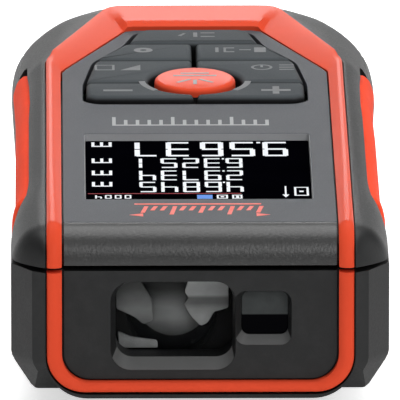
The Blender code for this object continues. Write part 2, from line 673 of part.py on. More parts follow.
FINISHES = {
    "charcoal": ((0.018, 0.019, 0.021), 0.5, 0.0),
    "rubber_black": ((0.006, 0.006, 0.006), 0.8, 0.0),
    "orange_gloss": ((0.78, 0.085, 0.035), 0.38, 0.0),
    "orange_soft": ((0.72, 0.07, 0.03), 0.6, 0.0),
    "nose_grey": ((0.06, 0.062, 0.064), 0.45, 0.0),
    "face_grey": ((0.13, 0.14, 0.15), 0.5, 0.0),
    "key_grey": ((0.07, 0.075, 0.08), 0.55, 0.0),
    "black_glass": ((0.003, 0.003, 0.006), 0.08, 0.0),
    "module_dark": ((0.02, 0.02, 0.03), 0.4, 0.0),
    "copper_flex": ((0.35, 0.16, 0.05), 0.5, 0.2),
    "lens_glass": ((0.5, 0.55, 0.6), 0.04, 0.0),
    "brass_dark": ((0.25, 0.19, 0.08), 0.35, 1.0),
    "metal_bright": ((0.6, 0.6, 0.58), 0.28, 1.0),
    "board_green": ((0.02, 0.12, 0.05), 0.5, 0.0),
    "chip_black": ((0.012, 0.012, 0.013), 0.6, 0.0),
    "cell_wrap": ((0.04, 0.05, 0.07), 0.35, 0.3),
    "label_silver": ((0.45, 0.46, 0.48), 0.45, 0.6),
}
PIVOTS = {
    "end_piece": (0.0, HINGE_D, HINGE_Z),
    "battery_cover": (0.0, sum(COVER_D) / 2, 0.9),
}
SMOOTH_ANGLE = math.radians(32)


def settle(obj):
    """Puts the object in metres, with its origin on its joint axis."""
    pivot = Vector(PIVOTS.get(obj.name, (0.0, 0.0, 0.0)))
    if obj.name.startswith("key_"):
        pivot = key_centre(obj)
    to_scene = Matrix.Scale(MM, 4) @ Matrix.Translation((0.0, -LENGTH / 2, 0.0))
    place = to_scene @ pivot
    obj.data.transform(Matrix.Translation(-place) @ to_scene)
    obj.location = place
    name = obj["finish"]
    del obj["finish"]
    obj.data.materials.clear()
    obj.data.materials.append(material(name, *FINISHES[name]))
    obj.data.polygons.foreach_set("use_smooth", [True] * len(obj.data.polygons))
    obj.data.set_sharp_from_angle(angle=SMOOTH_ANGLE)


def main():
    clear_scene()
    made = [lower_housing(), upper_housing(), seam_gasket(), nose_cap(), top_frame(), front_bumper()]
    made += [side_grip("side_grip_left", -1), side_grip("side_grip_right", 1)]
    made += [face_panel(), battery_cover(), end_piece()]
    made += keys() + keypad_parts() + display_parts() + optics_parts() + board_parts()
    made += battery_parts() + small_parts()
    for obj in made:
        settle(obj)


main()
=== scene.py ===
"""Looks of the pocket laser distance meter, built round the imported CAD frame.

Pieces are drawn in millimetres: x across, d along from the laser end, z up. They are stored in metres.
"""

from math import asin, cos, pi, radians, sin, sqrt

import bmesh
import bpy
from mathutils import Matrix, Vector


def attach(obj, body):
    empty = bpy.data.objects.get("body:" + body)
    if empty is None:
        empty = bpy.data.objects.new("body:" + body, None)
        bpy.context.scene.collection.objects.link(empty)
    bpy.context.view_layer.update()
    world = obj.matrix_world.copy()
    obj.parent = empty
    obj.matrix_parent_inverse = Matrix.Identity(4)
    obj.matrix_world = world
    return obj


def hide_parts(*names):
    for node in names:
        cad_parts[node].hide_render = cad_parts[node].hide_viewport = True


MM = 0.001
LENGTH = 116.0
BODY = "meter_body"
TO_ROW = Matrix.Scale(MM, 4) @ Matrix.Translation((0.0, -LENGTH / 2, 0.0))

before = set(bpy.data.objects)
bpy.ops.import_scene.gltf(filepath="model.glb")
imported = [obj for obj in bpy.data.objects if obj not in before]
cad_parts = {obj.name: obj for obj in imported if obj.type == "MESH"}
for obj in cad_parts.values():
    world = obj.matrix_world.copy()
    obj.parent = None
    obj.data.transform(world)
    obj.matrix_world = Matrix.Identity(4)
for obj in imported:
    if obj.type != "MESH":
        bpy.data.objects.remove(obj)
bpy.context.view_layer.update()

# -------- dimensions, as in the CAD
# Tables whose names end in _AT hold (d, value) pairs along the length.
HALF_WIDTH = 22.0
CREST_Z = 25.7
RAISED = 0.25
FACE_Z = 25.15
FACE_UNDER_Z = 23.9
SHOULDER_Z = 25.0
SEAT_Z = 23.6
SEAM_LOW_Z = 20.35
SEAM_HIGH_Z = 20.95
REAR_ARC_D = 102.0
REAR_ARC_R = 14.0
REAR_FLAT_HALF = 8.0
FRONT_D = 0.2
CHEEK_EDGE_D = 1.2
CHEEK_EDGE_HALF = 19.55
CHEEK_END_D = 5.0
WAIST_FRONT = (15.0, 31.0)
WAIST_REAR = (77.0, 95.0)
# (inset, rise) of the lower edge of the sides
CHAMFER = ((3.1, 0.0), (2.75, 0.08), (2.3, 0.5), (0.45, 3.35), (0.1, 4.05), (0.0, 4.6))
BOTTOM_AT = ((0.0, 5.3), (13.0, 5.3), (15.0, 5.05), (31.0, 0.3), (33.5, 0.0), (114.4, 0.0), (115.4, 0.4),
             (116.0, 1.3))
TOP_AT = ((0.2, 22.3), (0.6, 23.0), (1.2, 23.7), (1.8, 24.2), (2.6, 24.62), (3.6, 24.9), (5.0, SHOULDER_Z),
          (110.6, SHOULDER_Z), (112.2, 24.85), (113.4, 24.5), (114.5, 23.9), (115.4, 23.0), (116.0, 21.6))
SHOULDER_START_AT = ((0.0, 19.8), (60.0, 19.8), (86.0, 17.2), (100.0, 16.6), (116.0, 16.6))
SHOULDER_INNER_AT = ((0.0, 17.9), (83.0, 17.9), (108.0, 10.9), (116.0, 4.0))
TUCK_AT = ((70.0, 0.0), (92.0, 0.8), (116.0, 0.8))
FRONT_FACE_D = 1.2
RIM_HALF = 18.1
RIM_CORNER = 5.0
CHEEK_CUT_AT = ((0.7, 8.75), (4.9, 5.3))
NOSE_CENTRE_D = 5.2
NOSE_R = (2.2, 4.0)
NOSE_HALF = 15.9
FRAME_OUTER_X = 17.86
FRAME_INNER_X = 16.1
FRAME_NOSE_D = 4.2
# the groove of the front trim and the trim itself, outside and inside: (half width, bottom, corner radius)
GROOVE = ((18.0, 5.75, 4.6), (15.85, 7.4, 3.1))
BUMPER = ((FRAME_OUTER_X, 6.0, 4.4), (FRAME_INNER_X, 7.15, 3.3))
BUMPER_DEEP = 1.9
GAP = 0.3
# outline is (x0, x1, z0, z1); the mouth narrows by its inset at the sides and by its sill below
RECEIVER_MOUTH = dict(outline=(-10.45, 4.1, 8.4, 19.05), inset=0.75, sill=1.35, neck_d=2.3, radius=2.4)
EMITTER_MOUTH = dict(outline=(4.0, 10.6, 11.4, 17.9), inset=0.95, sill=1.05, neck_d=2.15, radius=1.3)
TUNNEL_END_D = 7.0
SILL_DEPTH = Vector((0.0, -0.08, 0.1))
SILL_LIFT = Vector((0.0, -0.02, 0.03))
LENS_AXIS = (-3.3, 13.9)
LENS_R = 5.0
LENS_D = 6.7
LENS_SAG = 1.7
APERTURE_CENTRE = (-3.1, 15.35)
APERTURE_R = 4.35
DISPLAY_HALF = 13.35
DISPLAY_D = (16.0, 47.2)
GLASS_Z = 24.35
KEY_TOP_Z = 25.75
OVAL_TOP_Z = 26.0
OVAL_D = 71.0
OVAL_HALF = (4.85, 5.6)
MOAT_HALF = (5.6, 6.5)
SPLIT_X = 0.25
MARK_THICK = 0.02
GRIP_FRONT_D = 22.5
GRIP_REAR_D = 88.5
GRIP_LOW_AT = ((GRIP_FRONT_D, 20.2), (22.7, 18.6), (23.4, 17.0), (24.6, 15.4), (26.5, 14.6), (72.0, 14.6),
               (83.5, 18.2), (86.8, 18.7), (88.0, 19.2), (GRIP_REAR_D, 20.2))
GRIP_HIGH_AT = ((GRIP_FRONT_D, 22.0), (22.8, 22.8), (23.6, 23.4), (66.0, 23.4), (80.0, 22.8), (87.0, 22.3),
                (88.1, 21.8), (GRIP_REAR_D, 21.0))
GRIP_INNER_X = 19.75
GRIP_POCKET_X = 19.5
GRIP_CLEAR = 0.35
GRIP_NOTCH = 2.2
GRIP_SETBACK = 0.05
GRIP_PROUD = 0.55
GRIP_BRIM = 1.4
SCREWS = ((-16.6, 39.0), (16.6, 39.0), (-16.6, 90.0), (16.6, 90.0))
# (z, radius) of a screw hole, from the underside up
SCREW_HOLE = ((-1.0, 2.3), (2.6, 2.3), (2.6, 1.3), (23.1, 1.3))
# places outside the object, ahead of it or below it and above it, where cutters start and end
BELOW = -1.0
ABOVE = 30.0


# -------- materials
def feed(tree, socket, value):
    """Links a socket to another node's output, or sets it to a constant."""
    if isinstance(value, bpy.types.NodeSocket):
        tree.links.new(value, socket)
    else:
        socket.default_value = value


def add_node(tree, kind, inputs=None, **settings):
    """New shader node with its settings, and with inputs given by name or number."""
    node = tree.nodes.new(f"ShaderNode{kind}")
    for key, value in settings.items():
        setattr(node, key, value)
    for key, value in (inputs or {}).items():
        feed(tree, node.inputs[key], value)
    return node


def new_material(name):
    made = bpy.data.materials.new(name)
    made.use_nodes = True
    return made, made.node_tree


def set_shader(tree, **values):
    """Feeds inputs of the main shader; an underscore stands for the space in an input's name."""
    shader = tree.nodes["Principled BSDF"]
    for key, value in values.items():
        feed(tree, shader.inputs[key.replace("_", " ")], value)


def object_coords(tree):
    return add_node(tree, "TexCoord").outputs["Object"]


def noise(tree, size, detail=3.0, roughness=0.55, coords=None):
    """Noise whose features are about one size across, in millimetres."""
    coords = coords or object_coords(tree)
    inputs = {"Vector": coords, "Scale": 1.0 / (size * MM), "Detail": detail, "Roughness": roughness}
    return add_node(tree, "TexNoise", inputs).outputs["Fac"]


def ramp(tree, value, stops):
    node = add_node(tree, "ValToRGB", {"Fac": value})
    node.color_ramp.elements[0].position, node.color_ramp.elements[0].color = stops[0]
    node.color_ramp.elements[1].position, node.color_ramp.elements[1].color = stops[-1]
    for place, color in stops[1:-1]:
        node.color_ramp.elements.new(place).color = color
    return node.outputs["Color"]


def spread(tree, value, low, high, from_low=0.3, from_high=0.7):
    inputs = {"Value": value, "From Min": from_low, "From Max": from_high, "To Min": low, "To Max": high}
    return add_node(tree, "MapRange", inputs).outputs["Result"]


def grey(level):
    return (level, level, level, 1.0)


def tinted(tree, value, color, low, high):
    """Colour that swings between two strengths with a noise."""
    dim, lit = ((*(min(c * strength, 1.0) for c in color), 1.0) for strength in (low, high))
    return ramp(tree, value, [(0.3, dim), (0.7, lit)])


def arithmetic(tree, operation, first, second):
    return add_node(tree, "Math", {0: first, 1: second}, operation=operation).outputs["Value"]


def mix_colors(tree, mode, factor, first, second):
    inputs = {"A": first, "B": second, "Factor": factor}
    return add_node(tree, "Mix", inputs, data_type="RGBA", blend_type=mode).outputs["Result"]


def clouded(tree, tone, size):
    """Tone multiplied by a slow noise."""
    clouds = ramp(tree, noise(tree, size), [(0.3, grey(0.85)), (0.7, grey(1.1))])
    return mix_colors(tree, "MULTIPLY", 1.0, tone, clouds)


def worn_edges(tree, strength):
    """Share of wear: high on convex edges, broken up by a patchy noise."""
    sharpness = add_node(tree, "NewGeometry").outputs["Pointiness"]
    edge = spread(tree, sharpness, 0.0, strength, 0.56, 0.66)
    patch = spread(tree, noise(tree, 2.2, 5.0, 0.7), 0.0, 1.0, 0.42, 0.62)
    return arithmetic(tree, "MULTIPLY", edge, patch)


def split_axes(tree, coords=None):
    return add_node(tree, "SeparateXYZ", {"Vector": coords or object_coords(tree)}).outputs


def height_tone(tree, levels):
    """Grey tone that follows the height, from (millimetres, grey) levels; used for painted shade and painted
    reflections.
    """
    low, high = levels[0][0], levels[-1][0]
    height = split_axes(tree)["Z"]
    stops = [((z - low) / (high - low), (tone, tone * 1.03, tone * 1.02, 1.0)) for z, tone in levels]
    return ramp(tree, spread(tree, height, 0.0, 1.0, low * MM, high * MM), stops)


def moulded(name, color, rough, grain, depth, vary, specular=0.5, speck=0.0, coat=0.0, wear=0.35,
            swing=0.05, foot=None):
    """Moulded plastic or rubber.

    grain and depth are the size and height of its grain in millimetres. vary, speck, wear and swing are the
    strengths of clouds, pale flecks, worn edges and uneven roughness. foot is painted shade: it darkens low
    heights.
    """
    made, tree = new_material(name)
    fine = noise(tree, grain, 2.0)
    tone = tinted(tree, noise(tree, CLOUD, 4.0), color, 1 - vary, 1 + vary)
    if speck:
        flecks = ramp(tree, noise(tree, grain * 1.3, 1.0), [(0.60, grey(0.0)), (0.74, grey(speck))])
        tone = mix_colors(tree, "ADD", 1.0, tone, flecks)
    # painted shade: darker low down, where the gap round a key is shaded
    if foot:
        tone = mix_colors(tree, "MULTIPLY", 1.0, tone, height_tone(tree, foot))
    pale = (*(c + (0.5 - c) * 0.25 for c in color), 1.0)
    tone = mix_colors(tree, "MIX", worn_edges(tree, wear), tone, pale)
    bump = add_node(tree, "Bump", {"Strength": 0.6, "Distance": depth * MM, "Height": fine})
    set_shader(tree, Base_Color=tone, Roughness=spread(tree, fine, rough - swing, rough + swing),
               Normal=bump.outputs["Normal"], Specular_IOR_Level=specular, Coat_Weight=coat,
               Coat_Roughness=0.2)
    return made


def metal(name, color, rough=0.28):
    """Plated or drawn metal with fine lines along the body."""
    made, tree = new_material(name)
    stretch = add_node(tree, "Mapping", {"Vector": object_coords(tree), "Scale": (1.0, 0.08, 1.0)})
    lines = noise(tree, 0.05, coords=stretch.outputs["Vector"])
    set_shader(tree, Base_Color=tinted(tree, lines, color, 0.82, 1.1), Metallic=1.0,
               Roughness=spread(tree, lines, rough - 0.08, rough + 0.1))
    return made


def glowing(name, color, strength):
    """Lit ink of the display: faint unevenness, as a backlight has."""
    made, tree = new_material(name)
    tone = tinted(tree, noise(tree, 6.0, 2.0), color, 0.9, 1.0)
    set_shader(tree, Emission_Color=tone, Emission_Strength=strength, Base_Color=grey(0.0), Roughness=0.6)
    return made


def board_material(name):
    """Solder mask with faint copper tracks below it."""
    made, tree = new_material(name)
    tracks = add_node(tree, "TexBrick", {
        "Vector": object_coords(tree), "Scale": 260.0, "Mortar Size": 0.03, "Mortar": (0.05, 0.2, 0.08, 1),
        "Color1": (0.015, 0.10, 0.045, 1), "Color2": (0.02, 0.13, 0.055, 1),
    })
    rough = spread(tree, noise(tree, 1.0 / 0.9), 0.3, 0.45)
    set_shader(tree, Base_Color=tracks.outputs["Color"], Roughness=rough)
    return made


def clear_glass(name, tint, cover):
    """Pane that shows the tunnel behind it, with a trace of dust in its roughness."""
    made, tree = new_material(name)
    fine = noise(tree, 1.5, 4.0)
    set_shader(tree, Base_Color=tinted(tree, fine, tint, 0.8, 1.0), Alpha=cover, Specular_IOR_Level=0.25,
               Roughness=spread(tree, fine, 0.02, 0.06))
    return made


def aperture_glass(name, levels):
    """Optic with a painted reflection: grey bands by height in a round aperture, brightest across its middle,
    in a black rim.
    """
    made, tree = new_material(name)
    place = split_axes(tree)
    offset = {axis: arithmetic(tree, "SUBTRACT", place[axis], centre * MM)
              for axis, centre in zip("XZ", APERTURE_CENTRE)}
    offset = add_node(tree, "CombineXYZ", offset).outputs["Vector"]
    reach = add_node(tree, "VectorMath", {0: offset}, operation="LENGTH").outputs["Value"]
    outside = spread(tree, reach, 0.0, 1.0, (APERTURE_R - 0.06) * MM, (APERTURE_R + 0.06) * MM)
    # painted reflection: grey bands by height inside the aperture
    inside = clouded(tree, height_tone(tree, levels), 2.5)
    set_shader(tree, Base_Color=mix_colors(tree, "MIX", outside, inside, (0.001, 0.001, 0.0015, 1.0)),
               Roughness=spread(tree, outside, 0.25, 0.5, 0.0, 1.0), Specular_IOR_Level=0.12)
    return made


def frosted(name, levels):
    """Ground glass round an optic, lighter and darker with height: painted reflections."""
    made, tree = new_material(name)
    rough = spread(tree, noise(tree, 0.8, 2.0), 0.3, 0.45)
    # painted reflection: grey bands by height
    set_shader(tree, Base_Color=clouded(tree, height_tone(tree, levels), 1.8), Roughness=rough,
               Specular_IOR_Level=0.2)
    return made


def banded_glass(name, upper, lower, split):
    """Filter glass, grey above a level and black below it."""
    made, tree = new_material(name)
    rise = spread(tree, split_axes(tree)["Z"], 0.0, 1.0, split * MM, (split + 0.12) * MM)
    tone = tinted(tree, noise(tree, 1.2, 2.0), upper, 0.9, 1.1)
    set_shader(tree, Base_Color=mix_colors(tree, "MIX", rise, (*lower, 1.0), tone),
               Roughness=spread(tree, rise, 0.05, 0.3, 0.0, 1.0), Specular_IOR_Level=0.02)
    return made


# size of the slow clouds of tone on moulded pieces, in millimetres
CLOUD = 9.0
# (height, grey) levels in millimetres: painted shade at the foot of the keys, and painted reflections in the
# lens and the flanges round it
KEY_PAINTED_SHADE = ((25.0, 0.06), (25.25, 0.2), (25.45, 0.8), (25.6, 1.0))
APERTURE_PAINTED_REFLECTION = ((11.2, 0.07), (12.2, 0.12), (13.2, 0.19), (14.6, 0.19), (15.6, 0.12), (16.6, 0.06),
                   (18.6, 0.05))
FROST_RIGHT_PAINTED_REFLECTION = ((12.2, 0.22), (13.4, 0.28), (14.6, 0.22), (15.3, 0.11), (15.9, 0.12), (16.3, 0.36),
                      (18.0, 0.44))
FROST_LEFT_PAINTED_REFLECTION = ((12.6, 0.08), (13.9, 0.15), (14.6, 0.18), (15.6, 0.13), (17.2, 0.07))
FROST_LOW_PAINTED_REFLECTION = ((9.9, 0.24), (10.8, 0.24), (11.8, 0.12))

CHARCOAL = moulded("charcoal_plastic", (0.0080, 0.0085, 0.0088), 0.46, 0.22, 0.02, 0.05,
                   specular=0.3, wear=0.03)
CHARCOAL_SMOOTH = moulded("charcoal_smooth", (0.022, 0.023, 0.024), 0.38, 0.3, 0.008, 0.12)
NOSE = moulded("nose_plastic", (0.008, 0.0082, 0.008), 0.34, 0.3, 0.05, 0.08,
               specular=0.7, speck=0.015, wear=0.08)
FACE = moulded("face_paint", (0.060, 0.064, 0.073), 0.55, 0.16, 0.012, 0.04, specular=0.22, wear=0.15)
ORANGE = moulded("orange_plastic", (0.70, 0.072, 0.030), 0.26, 16.0, 0.001, 0.03,
                 specular=0.02, wear=0.0, swing=0.001)
ORANGE_SOFT = moulded("orange_rubber", (0.86, 0.072, 0.028), 0.6, 0.3, 0.012, 0.05, specular=0.02, wear=0.05)
# grey key rubber, with painted shade that darkens the foot of each key
KEY_RUBBER = moulded("key_rubber_painted_shade", (0.060, 0.066, 0.072), 0.72, 0.2, 0.014, 0.06,
                     specular=0.14, wear=0.04, foot=KEY_PAINTED_SHADE)
BLACK_RUBBER = moulded("black_rubber", (0.006, 0.006, 0.006), 0.8, 0.3, 0.02, 0.2, specular=0.2)
BLACK_GLASS = moulded("black_glass", (0.0006, 0.0006, 0.0014), 0.1, 2.0, 0.001, 0.2, specular=0.0, wear=0.0)
WINDOW = clear_glass("window_glass", (0.012, 0.014, 0.015), 0.06)
# lens glass with painted reflections in its aperture
LENS = aperture_glass("lens_glass", APERTURE_PAINTED_REFLECTION)
FILTER = banded_glass("filter_glass", (0.046, 0.050, 0.050), (0.0002, 0.0002, 0.0008), 14.75)
# frosted flanges with painted reflections by height
FROST_RIGHT = frosted("frosted_flange_right_painted_reflection", FROST_RIGHT_PAINTED_REFLECTION)
FROST_LEFT = frosted("frosted_flange_left_painted_reflection", FROST_LEFT_PAINTED_REFLECTION)
FROST_LOW = frosted("frosted_flange_low_painted_reflection", FROST_LOW_PAINTED_REFLECTION)
ABSORBER = moulded("black_absorber", (0.002, 0.002, 0.002), 0.9, 0.2, 0.02, 0.2, specular=0.1, wear=0.0)
# painted light: paler than the face, for the lit walls of the display recess
PAINTED_LIGHT_BEZEL = moulded("bezel_painted_light", (0.22, 0.225, 0.235), 0.5, 0.16, 0.01, 0.05, wear=0.1)
STEEL = metal("bright_steel", (0.62, 0.62, 0.6))
BRASS = metal("dark_brass", (0.32, 0.25, 0.12), 0.35)
BOARD = board_material("green_board")
CHIP = moulded("chip_black", (0.012, 0.012, 0.013), 0.55, 0.15, 0.01, 0.2)
CELL = moulded("cell_wrap", (0.05, 0.06, 0.085), 0.3, 0.5, 0.004, 0.15, coat=0.4)
FLEX = moulded("amber_ribbon", (0.36, 0.15, 0.04), 0.35, 0.5, 0.01, 0.2)
LABEL = moulded("silver_plate", (0.42, 0.43, 0.45), 0.4, 0.2, 0.01, 0.08)
MODULE = moulded("module_dark", (0.02, 0.02, 0.03), 0.4, 0.4, 0.01, 0.2)
INK_WHITE = moulded("ink_white", (0.36, 0.37, 0.37), 0.6, 0.15, 0.004, 0.05, specular=0.2)
INK_DIM = moulded("ink_dim", (0.20, 0.205, 0.21), 0.7, 0.15, 0.004, 0.05, specular=0.1)
# painted reflection: far paler than the shell plastic, for the strips on the lower bevels of the window
# mouths
SILL = moulded("sill_painted_reflection", (0.068, 0.069, 0.069), 0.4, 0.22, 0.01, 0.06, specular=0.4, wear=0.05)
INK_RED = moulded("ink_red", (0.80, 0.07, 0.03), 0.45, 0.15, 0.004, 0.05)
GLOW_WHITE = glowing("glow_white", (0.92, 0.95, 1.0), 0.95)
GLOW_BLUE = glowing("glow_blue", (0.06, 0.25, 0.8), 0.9)
GLOW_RED = glowing("glow_red", (0.8, 0.02, 0.05), 0.4)


# -------- drawing tools
def along(table, d):
    """Value of a (d, value) table at one station, with straight lines between its rows."""
    if d <= table[0][0]:
        return table[0][1]
    for (d0, v0), (d1, v1) in zip(table, table[1:]):
        if d <= d1:
            return v0 + (v1 - v0) * (d - d0) / (d1 - d0)
    return table[-1][1]


def smoothstep(low, high, value):
    t = min(max((value - low) / (high - low), 0.0), 1.0)
    return t * t * (3 - 2 * t)


def both_sides(half):
    """The right half of a run of points, then its mirror image on the way back."""
    return half + [(-x, *rest) for x, *rest in reversed(half)]


def join_rows(bm, low, high):
    """Faces between two rows of vertices that each close on themselves."""
    for i in range(len(low)):
        j = (i + 1) % len(low)
        bm.faces.new((low[i], low[j], high[j], high[i]))


def loft(rings, closed=False):
    """Skin over rings of equal length, capped at both ends or closed into a loop."""
    bm = bmesh.new()
    rows = [[bm.verts.new(point) for point in ring] for ring in rings]
    for low, high in zip(rows, rows[1:]):
        join_rows(bm, low, high)
    if closed:
        join_rows(bm, rows[-1], rows[0])
    else:
        bm.faces.new(rows[0])
        bm.faces.new(rows[-1])
    bmesh.ops.recalc_face_normals(bm, faces=bm.faces)
    return bm


def lift(outline, axis, place):
    """Plane outline set across an axis, at a place along it."""
    index = "XYZ".index(axis)
    return [(*point[:index], place, *point[index:]) for point in outline]


def prism(outline, axis, low, high, bevel=0.0, segments=3):
    """Outline pushed along an axis, with the edges of its high end rounded by the bevel."""
    bm = loft([lift(outline, axis, low), lift(outline, axis, high)])
    if bevel:
        index = "XYZ".index(axis)
        rim = [e for e in bm.edges if all(abs(v.co[index] - high) < 1e-6 for v in e.verts)]
        bmesh.ops.bevel(bm, geom=rim, offset=bevel, segments=segments, profile=0.5, affect="EDGES")
    return bm


def box(x0, x1, d0, d1, z0, z1):
    return prism([(x0, d0), (x1, d0), (x1, d1), (x0, d1)], "Z", z0, z1)


def quarter(a, b, radius, start, steps):
    """Quarter circle round (a, b), from a start angle in degrees."""
    turns = [radians(start + 90 * step / steps) for step in range(steps + 1)]
    return [(a + radius * cos(t), b + radius * sin(t)) for t in turns]


def rounded(a0, a1, b0, b1, radius, steps=8):
    """Rectangle with round corners."""
    corners = ((a1 - radius, b0 + radius, -90), (a1 - radius, b1 - radius, 0),
               (a0 + radius, b1 - radius, 90), (a0 + radius, b0 + radius, 180))
    return [point for a, b, start in corners for point in quarter(a, b, radius, start, steps)]


def disc(a, b, radius, count=48):
    turns = [2 * pi * i / count for i in range(count)]
    return [(a + radius * cos(t), b + radius * sin(t)) for t in turns]


def turned(axis_point, profile, count=48, axis="Y"):
    """Round body from a profile of (place along the axis, radius)."""
    return loft([lift(disc(*axis_point, radius, count), axis, place) for place, radius in profile])


def round_corners(points, radius, steps=5):
    """Closed outline with each corner turned into a small arc."""
    out = []
    count = len(points)
    for i, here in enumerate(points):
        here = Vector(here)
        before = Vector(points[i - 1]) - here
        after = Vector(points[(i + 1) % count]) - here
        reach = min(radius, before.length * 0.45, after.length * 0.45)
        start = here + before.normalized() * reach
        end = here + after.normalized() * reach
        for step in range(steps + 1):
            t = step / steps
            out.append(tuple(start * (1 - t) ** 2 + here * 2 * t * (1 - t) + end * t * t))
    return out


def raw(name, bm):
    mesh = bpy.data.meshes.new(name)
    bm.to_mesh(mesh)
    bm.free()
    obj = bpy.data.objects.new(name, mesh)
    bpy.context.scene.collection.objects.link(obj)
    return obj


def combine(target, operation, *shapes):
    for shape in shapes:
        tool = raw("tool", shape)
        step = target.modifiers.new("step", "BOOLEAN")
        step.operation = operation
        step.solver = "EXACT"
        step.object = tool
        graph = bpy.context.evaluated_depsgraph_get()
        mesh = bpy.data.meshes.new_from_object(target.evaluated_get(graph))
        target.modifiers.clear()
        target.data = mesh
        bpy.data.objects.remove(tool, do_unlink=True)


def soften(obj, width, segments, angle):
    """Rounds off the edges that are sharper than an angle in degrees."""
    bevel = obj.modifiers.new("edge", "BEVEL")
    bevel.width = width * MM
    bevel.segments = segments
    bevel.limit_method = "ANGLE"
    bevel.angle_limit = radians(angle)
    return bevel


def dress(obj, finish, body=BODY, node=None, edge=0.0, smooth=35):
    """Puts a drawn piece into metres, with its material, soft edges and place in the table."""
    obj.data.transform(TO_ROW)
    obj.data.materials.clear()
    obj.data.materials.append(finish)
    obj.data.polygons.foreach_set("use_smooth", [True] * len(obj.data.polygons))
    obj.data.set_sharp_from_angle(angle=radians(smooth))
    if edge:
        bevel = soften(obj, edge, 2, smooth)
        bevel.harden_normals = True
    if node:
        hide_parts(node)
    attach(obj, body)


# -------- shells
def half_width(d, faceted):
    """Half width of the body; the cheeks are faceted below the seam and round above it."""
    if d > REAR_ARC_D:
        return REAR_FLAT_HALF + sqrt(max(REAR_ARC_R**2 - (d - REAR_ARC_D) ** 2, 0.0))
    if d >= CHEEK_END_D:
        return HALF_WIDTH - smoothstep(*WAIST_FRONT, d) + smoothstep(*WAIST_REAR, d)
    if faceted:
        return along(((FRONT_D, RIM_HALF), (CHEEK_EDGE_D, CHEEK_EDGE_HALF), (CHEEK_END_D, HALF_WIDTH)), d)
    turn = pi / 2 * (d - FRONT_D) / (CHEEK_END_D - FRONT_D)
    return RIM_HALF + (HALF_WIDTH - RIM_HALF) * sin(turn) ** 0.9


def shoulder(d, z, faceted=False):
    """Half width at a height, with the upper edge rounded off towards the face."""
    wide = half_width(d, faceted)
    start = along(SHOULDER_START_AT, d)
    inner = min(along(SHOULDER_INNER_AT, d), wide - 0.4)
    if z <= start:
        return wide
    rise = min((z - start) / (along(TOP_AT, d) - start), 1.0)
    return inner + (wide - inner) * sqrt(1.0 - rise**2)


def stations(front):
    """Places of the sections: close together at both ends, and every 1.5 between them."""
    marks = set(front) | {CHEEK_END_D, 115.4}
    marks |= {round(CHEEK_END_D + 1.0 + 1.5 * i, 3) for i in range(64)}
    marks |= {REAR_ARC_D + REAR_ARC_R * sin(pi / 2 * i / 14) for i in range(1, 15)}
    return sorted(marks)


def lower_section(d):
    under = along(BOTTOM_AT, d)
    start = along(SHOULDER_START_AT, d)
    slim = half_width(d, True) - along(TUCK_AT, d)
    half = [(slim - inset, d, under + rise) for inset, rise in CHAMFER]
    for step in range(5):
        z = start + (SEAM_LOW_Z - start) * step / 4
        half.append((shoulder(d, z, True), d, z))
    return both_sides(half)


def upper_section(d):
    top = along(TOP_AT, d)
    start = along(SHOULDER_START_AT, d)
    first = asin((SEAM_HIGH_Z - start) / (top - start))
    half = []
    for step in range(12):
        turn = first + (pi / 2 - first) * step / 11
        z = start + (top - start) * sin(turn)
        half.append((shoulder(d, z), d, z))
    return both_sides(half)


def half_arch(half, bottom, corner, top, steps=12):
    """Right half of an open U, from its top down and round its corner to its bottom."""
    return [(half, top)] + quarter(half - corner, bottom + corner, corner, -90, steps)[::-1]


def mouth_ring(share, d, outline, inset, sill, radius):
    """Outline of a window mouth at a share of the way to its neck."""
    x0, x1, z0, z1 = outline
    side = inset * share
    left, right, top = x0 + side * 0.8, x1 - side * 0.4, z1 - side * 0.3
    return lift(rounded(left, right, z0 + sill * share, top, radius - 0.4 * share), "Y", d)


def mouth(neck_d, **shape):
    """Cutter for a window: a mouth with bevelled sides and a deeper sill, then a straight tunnel."""
    stops = ((0.0, BELOW), (0.0, FRONT_FACE_D), (1.0, neck_d), (1.0, TUNNEL_END_D))
    return loft([mouth_ring(share, d, **shape) for share, d in stops])


def grip_pocket(side):
    """Cutter for a side grip, longer than the grip by a notch at its rear."""
    ahead, behind = -GRIP_CLEAR, GRIP_CLEAR + GRIP_NOTCH
    low, high = ([(d + (ahead if d < LENGTH / 2 else behind), z + rise) for d, z in table]
                 for table, rise in ((GRIP_LOW_AT, -GRIP_CLEAR), (GRIP_HIGH_AT, GRIP_CLEAR)))
    outline = low + high[::-1]
    return prism(outline, "X", *sorted((side * GRIP_POCKET_X, side * (HALF_WIDTH + 2.0))))


def rim_outline():
    """Straight front rim, with round lower corners and a level top at the seam."""
    turn = quarter(RIM_HALF - RIM_CORNER, BOTTOM_AT[0][1] + RIM_CORNER, RIM_CORNER, -90, 16)
    return both_sides(turn + [(RIM_HALF, SEAM_LOW_Z)])


def cheek_cut():
    """Side view of the wedge that is cut off the lower front edge of the cheeks."""
    (near, high), (far, low) = CHEEK_CUT_AT
    slope = (high - low) / (far - near)
    return [(BELOW, 0.0), (far, 0.0), (far, low), (BELOW, high + slope * (near - BELOW))]


